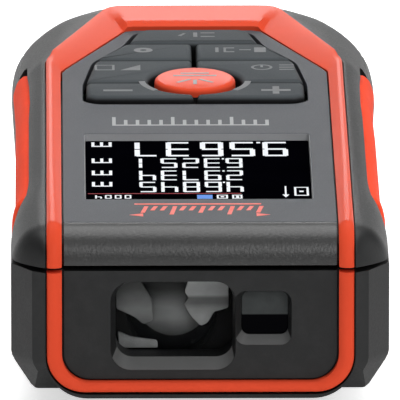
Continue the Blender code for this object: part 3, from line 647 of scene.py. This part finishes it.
def lower_cutters():
    """Hollows of the lower shell, in the order in which they are cut."""
    half, bottom, corner = GROOVE[0]
    outside, inside = (both_sides(half_arch(*edge, 22.0)) for edge in GROOVE)
    optics_side = [(5.6, 7.6), (14.6, 7.6), (31.0, 2.2), (34.0, 2.2), (34.0, 22.0), (5.6, 22.0)]
    board_plan = [(-18.4, 44.0), (18.4, 44.0), (18.4, 102.0), (14.0, 109.0), (-14.0, 109.0), (-18.4, 102.0)]
    return [
        # front face and the groove of its trim
        prism(rounded(-half, half, bottom, ABOVE, corner, 12), "Y", BELOW, FRONT_FACE_D),
        prism(outside + inside[::-1], "Y", BELOW, BUMPER_DEEP + GAP),
        # room for the optics, the passage behind it and the room for the boards
        prism(optics_side, "X", -18.6, 18.6),
        box(-14.0, 14.0, 33.0, 45.0, 2.2, 22.0),
        prism(board_plan, "Z", 14.6, 22.0),
        # battery bay, and the seats of its cover and of the blank plate
        box(-11.6, 11.6, 47.0, 98.0, BELOW, 13.1),
        prism(rounded(-13.0, 13.0, 45.7, 98.6, 1.0), "Z", BELOW, 1.9),
        prism(rounded(-9.3, 9.3, 34.2, 43.8, 0.6), "Z", BELOW, 0.65),
        # end piece and its pin, then lanyard slot and its pin
        box(-9.2, 9.2, 99.5, LENGTH + 2.0, BELOW, 3.2),
        prism(disc(112.4, 1.5, 0.9, 24), "X", -11.2, 11.2),
        box(-17.0, -11.6, 109.8, LENGTH + 2.0, 6.4, 12.6),
        prism(disc(-13.4, 112.4, 1.1, 24), "Z", 4.6, 14.4),
        mouth(**RECEIVER_MOUTH),
        mouth(**EMITTER_MOUTH),
        *(turned(place, SCREW_HOLE, 32, "Z") for place in SCREWS),
        grip_pocket(-1),
        grip_pocket(1),
    ]


def lower_shell():
    body = raw("shell_lower", loft([lower_section(d) for d in stations((FRONT_D, CHEEK_EDGE_D))]))
    combine(body, "DIFFERENCE", prism(cheek_cut(), "X", -30.0, 30.0))
    combine(body, "UNION", prism(rim_outline(), "Y", FRONT_D, 6.0))
    combine(body, "DIFFERENCE", *lower_cutters())
    dress(body, CHARCOAL, node="lower_housing", edge=0.14, smooth=22)


def upper_shell():
    front = (FRONT_D, 0.6, 1.2, 1.8, 2.6, 3.6)
    body = raw("shell_upper", loft([upper_section(d) for d in stations(front)]))
    nose_side = [(BELOW, 20.0), (3.3, 20.0), (3.3, 22.0), (3.9, 22.9), (NOSE_CENTRE_D, SEAT_Z),
                 (8.0, SEAT_Z), (8.0, ABOVE), (BELOW, ABOVE)]
    seat_plan = both_sides([(18.0, 4.8), (18.0, 82.7), (17.75, 84.5), (16.95, 87.3), (11.25, 106.4),
                            (10.4, 108.1), (9.1, 108.85)])
    opening = both_sides([(14.6, 7.5), (14.6, 79.5), (7.9, 98.3)])
    combine(
        body, "DIFFERENCE",
        prism(nose_side, "X", -18.0, 18.0),
        prism(seat_plan, "Z", SEAT_Z, ABOVE),
        prism(opening, "Z", 20.0, ABOVE),
        grip_pocket(-1),
        grip_pocket(1),
    )
    dress(body, CHARCOAL, node="upper_housing", edge=0.14, smooth=24)


def nose_cap():
    """Quarter roll of even thickness, from the seam up to the face."""
    roll = quarter(0, 0, 1, 90, 24)
    inside, outside = ([(NOSE_CENTRE_D + radius * a, SEAM_HIGH_Z + (top - SEAM_HIGH_Z) * b) for a, b in roll]
                       for radius, top in zip(NOSE_R, (FACE_UNDER_Z, FACE_Z)))
    body = raw("nose_roll", prism(outside[::-1] + inside, "X", -NOSE_HALF, NOSE_HALF))
    dress(body, NOSE, node="nose_cap", edge=0.08)


# -------- orange trim
SIDE_BEAD = dict(crest=0.34, fall=0.55, brim=0.22)
FRONT_BEAD = dict(crest=0.45, fall=0.5, brim=0.45, bend=2.0)
CORNER_BEAD = dict(crest=0.08, fall=0.8, brim=0.06)
FAR_BEAD = dict(crest=0.9, fall=0.38, brim=0.06)
BEAD_ROOT = -1.8
BRIM_DROP = 0.4
BEAD_STEPS = 16


def bead(crest, fall, brim, bend=1.15):
    """Section of the trim as (share across, drop): rounded brim, level crest, then a slope to the face."""
    points = [(0.0, BEAD_ROOT), (0.0, -BRIM_DROP)]
    for step in range(1, BEAD_STEPS):
        share = step / BEAD_STEPS
        rise = sqrt(max(0.0, 1.0 - (1.0 - share / brim) ** 2)) if share < brim else 1.0
        slope = max(share - crest, 0.0) / (1.0 - crest)
        points.append((share, BRIM_DROP * (rise - 1.0) - fall * slope ** bend))
    return points + [(1.0, -fall), (1.0, BEAD_ROOT)]


def trim_ring(outer, inner, up, raised=0.0, **shape):
    """One section of the trim, between its outer and its inner edge."""
    outer, inner = Vector(outer), Vector(inner)
    return [outer.lerp(inner, share) + up * (drop + (raised if drop > BEAD_ROOT else 0.0))
            for share, drop in bead(**shape)]


def trim(name, rings, node, smooth):
    """Orange trim from the rings of its right half."""
    whole = rings + [[Vector((-p.x, p.y, p.z)) for p in ring] for ring in reversed(rings)]
    dress(raw(name, loft(whole)), ORANGE, node=node, smooth=smooth)


def top_trim():
    """Frame round the face: up and over the nose, back along the side and round the rear."""
    rings = []
    for a, b in quarter(0, 0, 1, 90, 16)[::-1]:
        place = (FRAME_NOSE_D * (1 + a), SEAM_HIGH_Z + b * (CREST_Z - SEAM_HIGH_Z))
        outer, inner = (FRAME_OUTER_X, *place), (FRAME_INNER_X, *place)
        rings.append(trim_ring(outer, inner, Vector((0, a, b)), **FRONT_BEAD))
    # (outer, inner) edges in plan
    side = [((FRAME_OUTER_X, 30.0), (FRAME_INNER_X, 30.0)), ((FRAME_OUTER_X, 82.2), (FRAME_INNER_X, 77.2)),
            ((17.75, 83.2), (16.0, 78.0)), ((17.5, 84.4), (15.75, 78.8))]
    corner = [((17.15, 85.7), (15.35, 79.8)), ((16.7, 87.2), (14.9, 81.0)), ((14.0, 96.2), (11.9, 88.8)),
              ((11.2, 105.6), (8.7, 97.3)), ((10.75, 106.9), (8.4, 98.0))]
    far = [((10.1, 107.9), (7.9, 98.5)), ((9.2, 108.4), (7.3, 98.7)), ((7.6, 108.5), (6.2, 98.7))]
    up = Vector((0, 0, 1))
    runs = ((side, 0.0, SIDE_BEAD), (corner, RAISED, CORNER_BEAD), (far, RAISED, FAR_BEAD))
    for edges, raised, shape in runs:
        for outer, inner in edges:
            rings.append(trim_ring((*outer, CREST_Z), (*inner, CREST_Z), up, raised, **shape))
    trim("trim_top", rings, "top_frame", 30)


def front_trim():
    """U round the laser end, with the same bead facing forwards."""
    up = Vector((0, -1, 0))
    outside, inside = (half_arch(*edge, SEAM_LOW_Z, 16) for edge in BUMPER)
    rings = [trim_ring((x, 0.0, z), (a, 0.0, b), up, **FRONT_BEAD)
             for (x, z), (a, b) in zip(outside, inside)]
    trim("trim_front", rings, "front_bumper", 40)


def grip_surface(d, z):
    """Half width of a grip: a little proud of the shoulder, and falling to it at its brim."""
    low, high = along(GRIP_LOW_AT, d), along(GRIP_HIGH_AT, d)
    ends = (0.8 * reach + 0.02 for reach in (d - GRIP_FRONT_D, GRIP_REAR_D - d))
    share = min(max(min(z - low, high - z, *ends), 0.0) / GRIP_BRIM, 1.0)
    return shoulder(d, z) - GRIP_SETBACK + GRIP_PROUD * sqrt(1.0 - (1.0 - share) ** 2)


def side_inlay(side):
    """Soft inlay that follows the rounded shoulder, with a rounded brim."""
    name = "right" if side > 0 else "left"
    ends = [0.25 * i for i in range(9)]
    marks = {d for d, _ in GRIP_LOW_AT + GRIP_HIGH_AT} | {GRIP_FRONT_D + end for end in ends}
    marks |= {GRIP_REAR_D - end for end in ends} | {25.0 + 1.5 * i for i in range(42)}
    shares = (0.0, 0.02, 0.05, 0.09, 0.14, 0.2, 0.3, 0.4, 0.5, 0.6, 0.7, 0.78, 0.85, 0.9, 0.94, 0.97, 0.985,
              1.0)
    rings = []
    for d in sorted(marks):
        low, high = along(GRIP_LOW_AT, d), along(GRIP_HIGH_AT, d)
        heights = [low + (high - low) * share for share in shares]
        ring = [(side * grip_surface(d, z), d, z) for z in heights]
        rings.append(ring + [(side * GRIP_INNER_X, d, high), (side * GRIP_INNER_X, d, low)])
    body = raw(f"grip_inlay_{name}", loft(rings))
    dress(body, ORANGE_SOFT, node=f"side_grip_{name}", smooth=50)


# -------- face and display
def face_plate():
    plan = both_sides([(15.9, 5.35), (15.9, 77.3), (15.5, 78.7), (14.68, 80.95), (8.2, 97.8), (7.1, 98.4)])
    keypad = both_sides([(11.9, 61.6), (13.45, 63.0), (13.45, 71.0), (12.3, 82.0), (8.6, 90.2), (7.2, 96.4),
                         (6.0, 97.4)])
    body = raw("face_plate", prism(plan, "Z", FACE_UNDER_Z, FACE_Z))
    combine(
        body, "DIFFERENCE",
        prism(rounded(-DISPLAY_HALF, DISPLAY_HALF, *DISPLAY_D, 0.5), "Z", 20.0, ABOVE),
        prism(round_corners(keypad, 1.4), "Z", 20.0, ABOVE),
    )
    dress(body, FACE, node="face_panel", edge=0.07, smooth=30)


def display_outline(side, front, rear, radius):
    """Outline of the display, smaller by a margin at the sides, the front and the rear."""
    half = DISPLAY_HALF - side
    return rounded(-half, half, DISPLAY_D[0] + front, DISPLAY_D[1] - rear, radius)


def display_bezel():
    """Pale slope at the rear side of the display recess, and narrow ones at its other sides; the pale grey is
    painted light on the lit rear wall.
    """
    wall = display_outline(-0.02, -0.02, -0.02, 0.5)
    foot = display_outline(0.12, 0.12, 0.35, 0.4)
    brim = display_outline(0.04, 0.04, 0.06, 0.45)
    low, high = GLASS_Z + 0.01, FACE_Z - 0.04
    rings = [lift(ring, "Z", z) for ring, z in ((foot, low), (wall, low), (wall, high), (brim, high))]
    dress(raw("display_bezel", loft(rings, closed=True)), PAINTED_LIGHT_BEZEL, smooth=30)


def display_glass():
    body = raw("display_pane", prism(display_outline(0.06, 0.06, 0.06, 0.45), "Z", 23.4, GLASS_Z))
    dress(body, BLACK_GLASS, node="display_window", edge=0.05)


# strokes of each number on a seven-segment display
SEGMENTS = {
    "0": "abcdef", "1": "bc", "2": "abged", "3": "abgcd", "4": "fgbc", "5": "afgcd", "6": "afgecd",
    "7": "abc", "8": "abcdefg", "9": "abcdfg",
}


def stroke(x0, x1, y0, y1):
    return [(x0, y0), (x1, y0), (x1, y1), (x0, y1)]


def strokes(*sizes):
    return [stroke(*size) for size in sizes]


def digit(left, base, width, height, number, weight):
    """Strokes of one number, drawn upright in reading axes."""
    right, top = left + width, base + height
    middle, gap = base + height / 2, weight * 0.35
    low, high = (base + gap, middle - gap), (middle + gap, top - gap)
    places = {
        "a": stroke(left + gap, right - gap, top - weight, top),
        "b": stroke(right - weight, right, *high),
        "c": stroke(right - weight, right, *low),
        "d": stroke(left + gap, right - gap, base, base + weight),
        "e": stroke(left, left + weight, *low),
        "f": stroke(left, left + weight, *high),
        "g": stroke(left + gap, right - gap, middle - weight / 2, middle + weight / 2),
    }
    return [places[s] for s in SEGMENTS[number]]


def hollow_box(left, right, low, high, weight):
    return strokes((left, left + weight, low, high), (right - weight, right, low, high),
                   (left, right, low, low + weight), (left, right, high - weight, high))


def unit_mark(left, base, width, height, weight):
    """Three legs under a bar."""
    top = base + height
    legs = (left, left + width / 2 - weight / 2, left + width - weight)
    return strokes(*((leg, leg + weight, base, top) for leg in legs), (left, left + width, top - weight, top))


def flat_marks(name, shapes, z, finish, body=BODY):
    """Thin printed or lit marks lying on a surface, as one piece."""
    bm = bmesh.new()
    for outline in shapes:
        low, high = ([bm.verts.new(point) for point in lift(outline, "Z", level)]
                     for level in (z, z + MARK_THICK))
        bm.faces.new(low)
        bm.faces.new(high)
        join_rows(bm, low, high)
    bmesh.ops.recalc_face_normals(bm, faces=bm.faces)
    dress(raw(name, bm), finish, body=body)


# The display is read from the rear end, so its reading axes run against x and d.
BIG_BASE = -46.2
BIG_HEIGHT = 6.8
# (number, left, width)
BIG_ROW = (("9", -10.75, 3.0), ("5", -6.85, 3.0), ("6", -3.1, 2.75), ("3", 0.8, 2.9), ("7", 4.6, 2.8))
# (numbers, base, height)
SMALL_ROWS = (("63251", -38.4, 4.5), ("29734", -32.6, 4.6), ("46845", -27.2, 4.8))
SMALL_LEFT = -5.3
SMALL_PITCH = 2.56
STATUS_BASE = -21.0
STATUS_LEFT = 7.9
STATUS_PITCH = 1.15


def readout():
    """One large row and three small ones with their points and unit marks."""
    shapes = []
    for number, left, width in BIG_ROW:
        shapes += digit(left, BIG_BASE, width, BIG_HEIGHT, number, 0.62)
    shapes.append(stroke(-7.5, -7.05, BIG_BASE, BIG_BASE + 0.6))
    for text, base, height in SMALL_ROWS:
        for i, number in enumerate(text):
            shapes += digit(SMALL_LEFT + SMALL_PITCH * i, base, 2.0, height, number, 0.4)
        shapes.append(stroke(-3.14, -2.88, base, base + 0.5))
    for base in [BIG_BASE] + [base for _, base, _ in SMALL_ROWS]:
        shapes += unit_mark(10.1, base, 2.4, 2.1, 0.36)
    return shapes


def status_row():
    """Small numbers, two cell signs, a target sign and an arrow."""
    shapes = []
    for i, number in enumerate("0004"):
        shapes += digit(STATUS_LEFT + STATUS_PITCH * i, STATUS_BASE, 0.8, 1.6, number, 0.2)
    for left, right in ((-3.4, -2.1), (-5.1, -3.9)):
        shapes += hollow_box(left, right, STATUS_BASE, STATUS_BASE + 1.7, 0.22)
    shapes += [stroke(-2.95, -2.55, STATUS_BASE + 0.6, STATUS_BASE + 1.1),
               stroke(-4.7, -4.35, STATUS_BASE + 0.4, STATUS_BASE + 1.4)]
    shapes += hollow_box(-12.9, -11.2, -24.6, -20.6, 0.25) + [stroke(-12.3, -11.8, -22.9, -22.3)]
    return shapes + [stroke(-10.3, -10.1, -25.0, -20.3), [(-10.6, -21.1), (-9.8, -21.1), (-10.2, -19.8)]]


def display_marks():
    for name, shapes, finish in (
        ("display_digits", readout() + status_row(), GLOW_WHITE),
        ("display_blue_mark", [stroke(-1.6, 0.2, STATUS_BASE, STATUS_BASE + 1.8)], GLOW_BLUE),
        ("display_red_line", [stroke(-5.0, 13.0, -21.8, -21.62)], GLOW_RED),
    ):
        turned_over = [[(-x, -y) for x, y in shape] for shape in shapes]
        flat_marks(name, turned_over, GLASS_Z, finish)


def face_marks():
    """Generic print: a red dimension mark near the laser end and white scale ticks past the display."""
    red = [stroke(-7.6, 7.2, 13.4, 13.9)]
    for i, height in enumerate((3.0, 1.9, 1.9, 3.8, 1.9, 1.9, 3.0, 1.9, 1.9, 3.8, 1.9, 1.9, 3.0)):
        left, top, foot = -6.9 + 1.12 * i, 12.6, 12.6 - height
        red.append([(left, foot), (left + 0.5, foot), (left + 0.95, top), (left + 0.45, top)])
    red += [[(side * 8.2, 8.6), (side * 6.6, 7.9), (side * 6.6, 9.3)] for side in (-1, 1)]
    flat_marks("face_mark_red", red, FACE_Z, INK_RED)
    white = []
    for i in range(14):
        left = -10.0 + 1.4 * i
        white.append(stroke(left, left + 0.42, 51.6, 51.6 + (2.2 if i % 5 else 3.6)))
    white.append(stroke(-10.0, 8.62, 51.1, 51.6))
    flat_marks("face_scale_white", white, FACE_Z, INK_WHITE)


# -------- keys
def oval_arc(half, first, last, steps):
    """Arc of an oval about the middle of the oval key, between two angles."""
    turns = [first + (last - first) * i / steps for i in range(steps + 1)]
    return [(half[0] * cos(t), OVAL_D + half[1] * sin(t)) for t in turns]


def moat_arc(d_from, d_to):
    """Edge of a grey key along the gap round the oval key, as far in as the split between keys."""
    first, last = (asin((d - OVAL_D) / MOAT_HALF[1]) for d in (d_from, d_to))
    return [(max(x, SPLIT_X), d) for x, d in oval_arc(MOAT_HALF, first, last, 20)]


MOAT_REACH = MOAT_HALF[1] * sqrt(1 - (SPLIT_X / MOAT_HALF[0]) ** 2)
KEY_PLANS = {
    "key_plus": [(SPLIT_X, 63.0), (11.9, 63.0), (13.05, 63.9), (13.05, 69.6), (12.6, 70.0)]
    + moat_arc(70.0, OVAL_D - MOAT_REACH),
    "key_timer": [(13.0, 70.6), (13.0, 71.2), (12.0, 80.6), (11.4, 81.1), (SPLIT_X, 81.1)]
    + moat_arc(OVAL_D + MOAT_REACH, 70.6),
    "key_memory": [(SPLIT_X, 81.7), (11.3, 81.7), (11.6, 82.2), (8.5, 89.0), (8.0, 89.4),
                   (SPLIT_X, 89.4)],
}
MIRROR_KEYS = {"key_plus": "key_minus", "key_timer": "key_function", "key_memory": "key_reference"}
SKIRT_GROWTH = 1.012


def key_cap(name, plan, finish=KEY_RUBBER, top=KEY_TOP_Z, bevel=0.7):
    body = raw(name.replace("key_", "keycap_"), prism(plan, "Z", 23.5, top, bevel, 5))
    dress(body, finish, body=f"{name}_body", node=name, smooth=50)


def key_caps():
    for name, plan in KEY_PLANS.items():
        key_cap(name, plan)
        key_cap(MIRROR_KEYS[name], [(-x, d) for x, d in plan])
    key_cap("key_clear", round_corners(both_sides([(7.9, 90.0), (6.8, 95.6), (5.9, 96.8)]), 0.8))
    wide, deep = OVAL_HALF
    oval = [(wide * a, OVAL_D + deep * b) for a, b in disc(0, 0, 1, 64)]
    key_cap("key_measure", oval, ORANGE, OVAL_TOP_Z, 0.55)
    skirt = [(x * SKIRT_GROWTH, OVAL_D + (d - OVAL_D) * SKIRT_GROWTH) for x, d in oval]
    sleeve = raw("keycap_measure_skirt", prism(skirt, "Z", 23.45, 25.0))
    dress(sleeve, BLACK_RUBBER, body="key_measure_body", smooth=50)


def arc_band(start, end):
    """Curved mark round the oval key, between two angles in degrees."""
    start, end = radians(start), radians(end)
    inner, outer = (oval_arc(half, start, end, 14) for half in ((6.0, 6.9), (6.75, 7.7)))
    return inner + outer[::-1]


def ring_mark(x, d, radius, weight, count=20):
    """Outline ring as a row of short strokes."""
    shapes = []
    for i in range(count):
        t0, t1 = (2 * pi * (i + k) / count for k in (0, 1))
        corners = ((radius, t0), (radius, t1), (radius - weight, t1), (radius - weight, t0))
        shapes.append([(x + r * cos(t), d + r * sin(t)) for r, t in corners])
    return shapes


def rays(count=3, spread_by=45.0):
    """Straight rays from the middle of the oval key towards the laser end."""
    centre = Vector((0.0, OVAL_D))
    shapes = []
    for i in range(count):
        t = radians(90 + spread_by * (i - (count - 1) // 2))
        back = Vector((cos(t), sin(t)))
        side = Vector((-back.y, back.x)) * 0.22
        near, far = centre - back * 0.8, centre - back * 3.0
        shapes.append([tuple(near + side), tuple(far + side), tuple(far - side), tuple(near - side)])
    return shapes


LEGENDS = {
    "key_minus": [stroke(-11.0, -7.5, 65.6, 66.4), arc_band(184, 222)],
    "key_plus": [
        *strokes((7.9, 11.4, 65.6, 66.4), (9.25, 10.05, 64.2, 65.55), (9.25, 10.05, 66.45, 67.8)),
        arc_band(-42, -4),
    ],
    "key_function": [
        *strokes((-12.0, -11.7, 76.0, 78.6), (-9.9, -9.6, 76.0, 78.6), (-11.7, -9.9, 76.0, 76.3),
                 (-11.7, -9.9, 78.3, 78.6)),
        [(-8.9, 76.0), (-6.5, 76.0), (-6.5, 78.6)],
    ],
    "key_timer": [
        *ring_mark(8.1, 77.3, 1.3, 0.32), stroke(7.95, 8.25, 77.3, 78.3),
        *(stroke(10.2, 12.0, low, low + 0.4) for low in (76.0, 77.1, 78.2)),
    ],
    "key_reference": ring_mark(-6.1, 86.0, 1.15, 0.75),
    "key_memory": strokes((2.6, 3.0, 84.9, 87.2), (3.6, 4.9, 84.9, 85.3), (3.6, 4.9, 86.8, 87.2),
                          (3.6, 3.9, 85.3, 86.8), (5.5, 6.9, 85.9, 86.3), (7.3, 8.7, 84.9, 87.2)),
    "key_clear": [
        [(-1.9, 93.2), (-1.2, 94.5), (-0.9, 94.3), (-1.5, 93.0)],
        *strokes((0.0, 0.5, 92.6, 94.8), (0.9, 2.6, 92.6, 93.0), (0.9, 2.6, 94.4, 94.8)),
    ],
}


def key_legends():
    """Generic signs on the keys, and a laser mark on the oval one."""
    for name, shapes in LEGENDS.items():
        flat_marks(name.replace("key_", "legend_"), shapes, KEY_TOP_Z, INK_DIM, f"{name}_body")
    laser = rays() + [stroke(-2.6, 2.6, 72.0, 72.5), stroke(-1.7, 1.7, 73.2, 73.7)]
    flat_marks("legend_measure", laser, OVAL_TOP_Z, INK_WHITE, "key_measure_body")


# -------- optics
def mouth_sill(name, neck_d, **shape):
    """Pale strip on the lower bevel of a window mouth: a painted reflection of the light in front."""
    near, far = (mouth_ring(share, d, **shape) for share, d in ((0.04, FRONT_FACE_D), (1.0, neck_d)))
    limit = shape["outline"][2] + shape["radius"] * 0.7
    low = sorted((i for i, (_, _, z) in enumerate(near) if z < limit), key=lambda i: near[i][0])
    strip = []
    for i in low:
        front, back = Vector(near[i]) + SILL_LIFT, Vector(far[i]) + SILL_LIFT
        strip.append([front, back, back - SILL_DEPTH, front - SILL_DEPTH])
    dress(raw(name, loft(strip)), SILL, smooth=50)


def window_pane(name, outline, margins, radius, depth, finish):
    """Pane in a tunnel, with margins to the mouth outline at its left, right, lower and upper side."""
    x0, x1, z0, z1 = outline
    left, right, low, high = margins
    pane = rounded(x0 + left, x1 - right, z0 + low, z1 - high, radius)
    body = raw(f"{name}_pane", prism(pane, "Y", *depth))
    dress(body, finish, node=f"{name}_window", edge=0.08)


FLANGES = {
    "lens_flange_left": (FROST_LEFT, [
        (-9.75, 17.5), (-9.2, 18.1), (-6.9, 18.0), (-6.3, 16.9), (-5.6, 15.6), (-5.5, 13.2), (-6.6, 12.7),
        (-7.6, 13.6), (-9.75, 14.6),
    ]),
    "lens_flange_right": (FROST_RIGHT, [
        (-1.2, 18.5), (0.6, 18.5), (1.4, 17.9), (3.3, 17.7), (3.3, 14.7), (1.6, 14.2), (0.9, 12.9),
        (0.1, 12.5), (-1.0, 13.6), (-1.9, 15.2), (-1.3, 15.9), (-1.8, 16.6),
    ]),
    "lens_flange_low": (FROST_LOW, [(-9.6, 11.9), (-8.0, 11.2), (-5.0, 10.8), (-4.9, 9.9), (-9.4, 9.9)]),
}


def receiver_optic():
    """Domed receiving lens with a stepped rim and a stub behind it."""
    profile = []
    for step in range(13):
        share = sin(pi / 2 * step / 12)
        profile.append((LENS_D + LENS_SAG * share ** 2, max(LENS_R * share, 0.05)))
    profile += [(8.9, LENS_R), (9.5, 3.1), (9.8, 1.2)]
    lens = raw("objective_lens", turned(LENS_AXIS, profile, 64))
    dress(lens, LENS, node="receiver_lens", smooth=50)


def optics():
    mouth_sill("receiver_sill", **RECEIVER_MOUTH)
    mouth_sill("emitter_sill", **EMITTER_MOUTH)
    window_pane("receiver", RECEIVER_MOUTH["outline"], (0.62, 0.32, 1.38, 0.25), 1.95, (5.2, 4.6), WINDOW)
    window_pane("emitter", EMITTER_MOUTH["outline"], (0.78, 0.4, 1.07, 0.3), 0.88, (3.0, 2.4), FILTER)
    for name, (finish, outline) in FLANGES.items():
        dress(raw(name, prism(round_corners(outline, 0.3), "Y", 6.1, 5.75, 0.08)), finish, smooth=50)
    receiver_optic()


# -------- pieces that keep the solid of the CAD
KEPT = (
    (BLACK_RUBBER, ("seam_gasket", "keypad_mat")),
    (BOARD, ("keypad_board", "main_board", "detector_board")),
    (MODULE, ("display_module",)),
    (CHARCOAL, ("display_carrier", "battery_cover")),
    (CHARCOAL_SMOOTH, ("end_piece",)),
    (FLEX, ("display_flex",)),
    (ABSORBER, ("optics_block",)),
    (BRASS, ("collimator_barrel",)),
    (LENS, ("collimator_lens",)),
    (CHIP, ("processor", "buzzer")),
    (CELL, ("battery_cell_left", "battery_cell_right")),
    (LABEL, ("blank_plate",)),
    (STEEL, ("laser_diode", "photodiode", "wireless_can", "battery_spring_left", "battery_spring_right",
             "contact_plate_front", "contact_plate_rear", "end_piece_pin", "lanyard_pin",
             *(f"housing_screw_{i}" for i in range(1, 5)))),
)
SOFT_EDGES = {"battery_cover": 0.2, "end_piece": 0.25, "blank_plate": 0.06, "optics_block": 0.2}


def finish_cad_nodes():
    for finish, names in KEPT:
        for name in names:
            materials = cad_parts[name].data.materials
            materials.clear()
            materials.append(finish)
    for name, width in SOFT_EDGES.items():
        soften(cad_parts[name], width, 3, 35)


# -------- studio
ELEVATION = radians(14.4)
AZIMUTH = radians(-0.55)
DISTANCE = 2.0
PIXELS_PER_MM = 8.63
IMAGE_WIDTH = 400.0
AIM = (-0.065, -58.0, 29.14)
FLOOR_DROP = 0.05
FLOOR_CLOUD = 1000.0 / 3.0
# name, place, height aimed at, size and power, in metres and watts
LIGHTS = (
    ("top_box", (0.0, 0.25, 0.9), 0.0, (0.9, 0.9), 5.4),
    ("front_box", (0.7, -1.5, 1.1), 0.01, (1.4, 0.9), 14.5),
    ("back_card", (0.0, 1.3, 0.24), 0.02, (0.9, 0.40), 0.65),
    ("back_strip", (0.0, 1.3, 0.36), 0.025, (0.3, 0.1), 0.8),
    ("side_card", (1.2, 0.1, 0.4), 0.02, (0.6, 0.8), 2.0),
)
# (sine of the elevation, brightness) of the sky that the object reflects
SKY = ((0.0, 1.0), (0.10, 0.85), (0.22, 0.12), (0.35, 0.16), (1.0, 0.75))


def add_object(name, data):
    obj = bpy.data.objects.new(name, data)
    bpy.context.scene.collection.objects.link(obj)
    return obj


def look_along(obj, direction):
    obj.rotation_euler = direction.to_track_quat("-Z", "Y").to_euler()


def camera():
    data = bpy.data.cameras.new("camera")
    obj = add_object("camera", data)
    level = cos(ELEVATION)
    back = Vector((sin(AZIMUTH) * level, -cos(AZIMUTH) * level, sin(ELEVATION)))
    obj.location = Vector(AIM) * MM + back * DISTANCE
    look_along(obj, -back)
    data.sensor_width = 36.0
    data.lens = PIXELS_PER_MM * DISTANCE / MM * data.sensor_width / IMAGE_WIDTH
    data.clip_start, data.clip_end = 0.1, 20.0
    bpy.context.scene.camera = obj


def area_light(name, place, aim_z, size, power):
    data = bpy.data.lights.new(name, "AREA")
    data.shape = "RECTANGLE"
    data.size, data.size_y = size
    data.energy = power
    obj = add_object(name, data)
    obj.location = place
    look_along(obj, Vector((0.0, 0.0, aim_z)) - Vector(place))


def floor():
    """Pale floor, which looks brighter to the camera than to the object."""
    bm = bmesh.new()
    bmesh.ops.create_grid(bm, x_segments=8, y_segments=8, size=4.0)
    plane = raw("floor", bm)
    plane.location.z = -FLOOR_DROP * MM
    made, tree = new_material("pale_floor")
    slow = noise(tree, FLOOR_CLOUD)
    tone = ramp(tree, slow, [(0.3, grey(0.9)), (0.7, grey(0.93))])
    set_shader(tree, Base_Color=tone, Roughness=0.9, Specular_IOR_Level=0.1)
    lamp = add_node(tree, "Emission", {"Strength": 0.6}).outputs["Emission"]
    camera_ray = add_node(tree, "LightPath").outputs["Is Camera Ray"]
    seen = add_node(tree, "MixShader", {"Fac": camera_ray, 2: lamp}).outputs["Shader"]
    both = add_node(tree, "AddShader", {0: tree.nodes["Principled BSDF"].outputs["BSDF"], 1: seen})
    feed(tree, tree.nodes["Material Output"].inputs["Surface"], both.outputs["Shader"])
    plane.data.materials.append(made)


def surroundings():
    """White to the camera, and a sky that darkens above the horizon to the object."""
    world = bpy.data.worlds.new("studio")
    world.use_nodes = True
    tree = world.node_tree
    rise = split_axes(tree, add_node(tree, "TexCoord").outputs["Generated"])["Z"]
    sky = tree.nodes["Background"]
    feed(tree, sky.inputs["Color"], ramp(tree, rise, [(height, grey(level)) for height, level in SKY]))
    white = add_node(tree, "Background", {"Color": grey(1.0)})
    camera_ray = add_node(tree, "LightPath").outputs["Is Camera Ray"]
    inputs = {"Fac": camera_ray, 1: sky.outputs["Background"], 2: white.outputs["Background"]}
    mix = add_node(tree, "MixShader", inputs)
    feed(tree, tree.nodes["World Output"].inputs["Surface"], mix.outputs["Shader"])
    bpy.context.scene.world = world
    bpy.context.scene.view_settings.view_transform = "Standard"


lower_shell()
upper_shell()
nose_cap()
top_trim()
front_trim()
side_inlay(-1)
side_inlay(1)
face_plate()
display_bezel()
display_glass()
display_marks()
face_marks()
key_caps()
key_legends()
optics()
finish_cad_nodes()
camera()
floor()
for light in LIGHTS:
    area_light(*light)
surroundings()
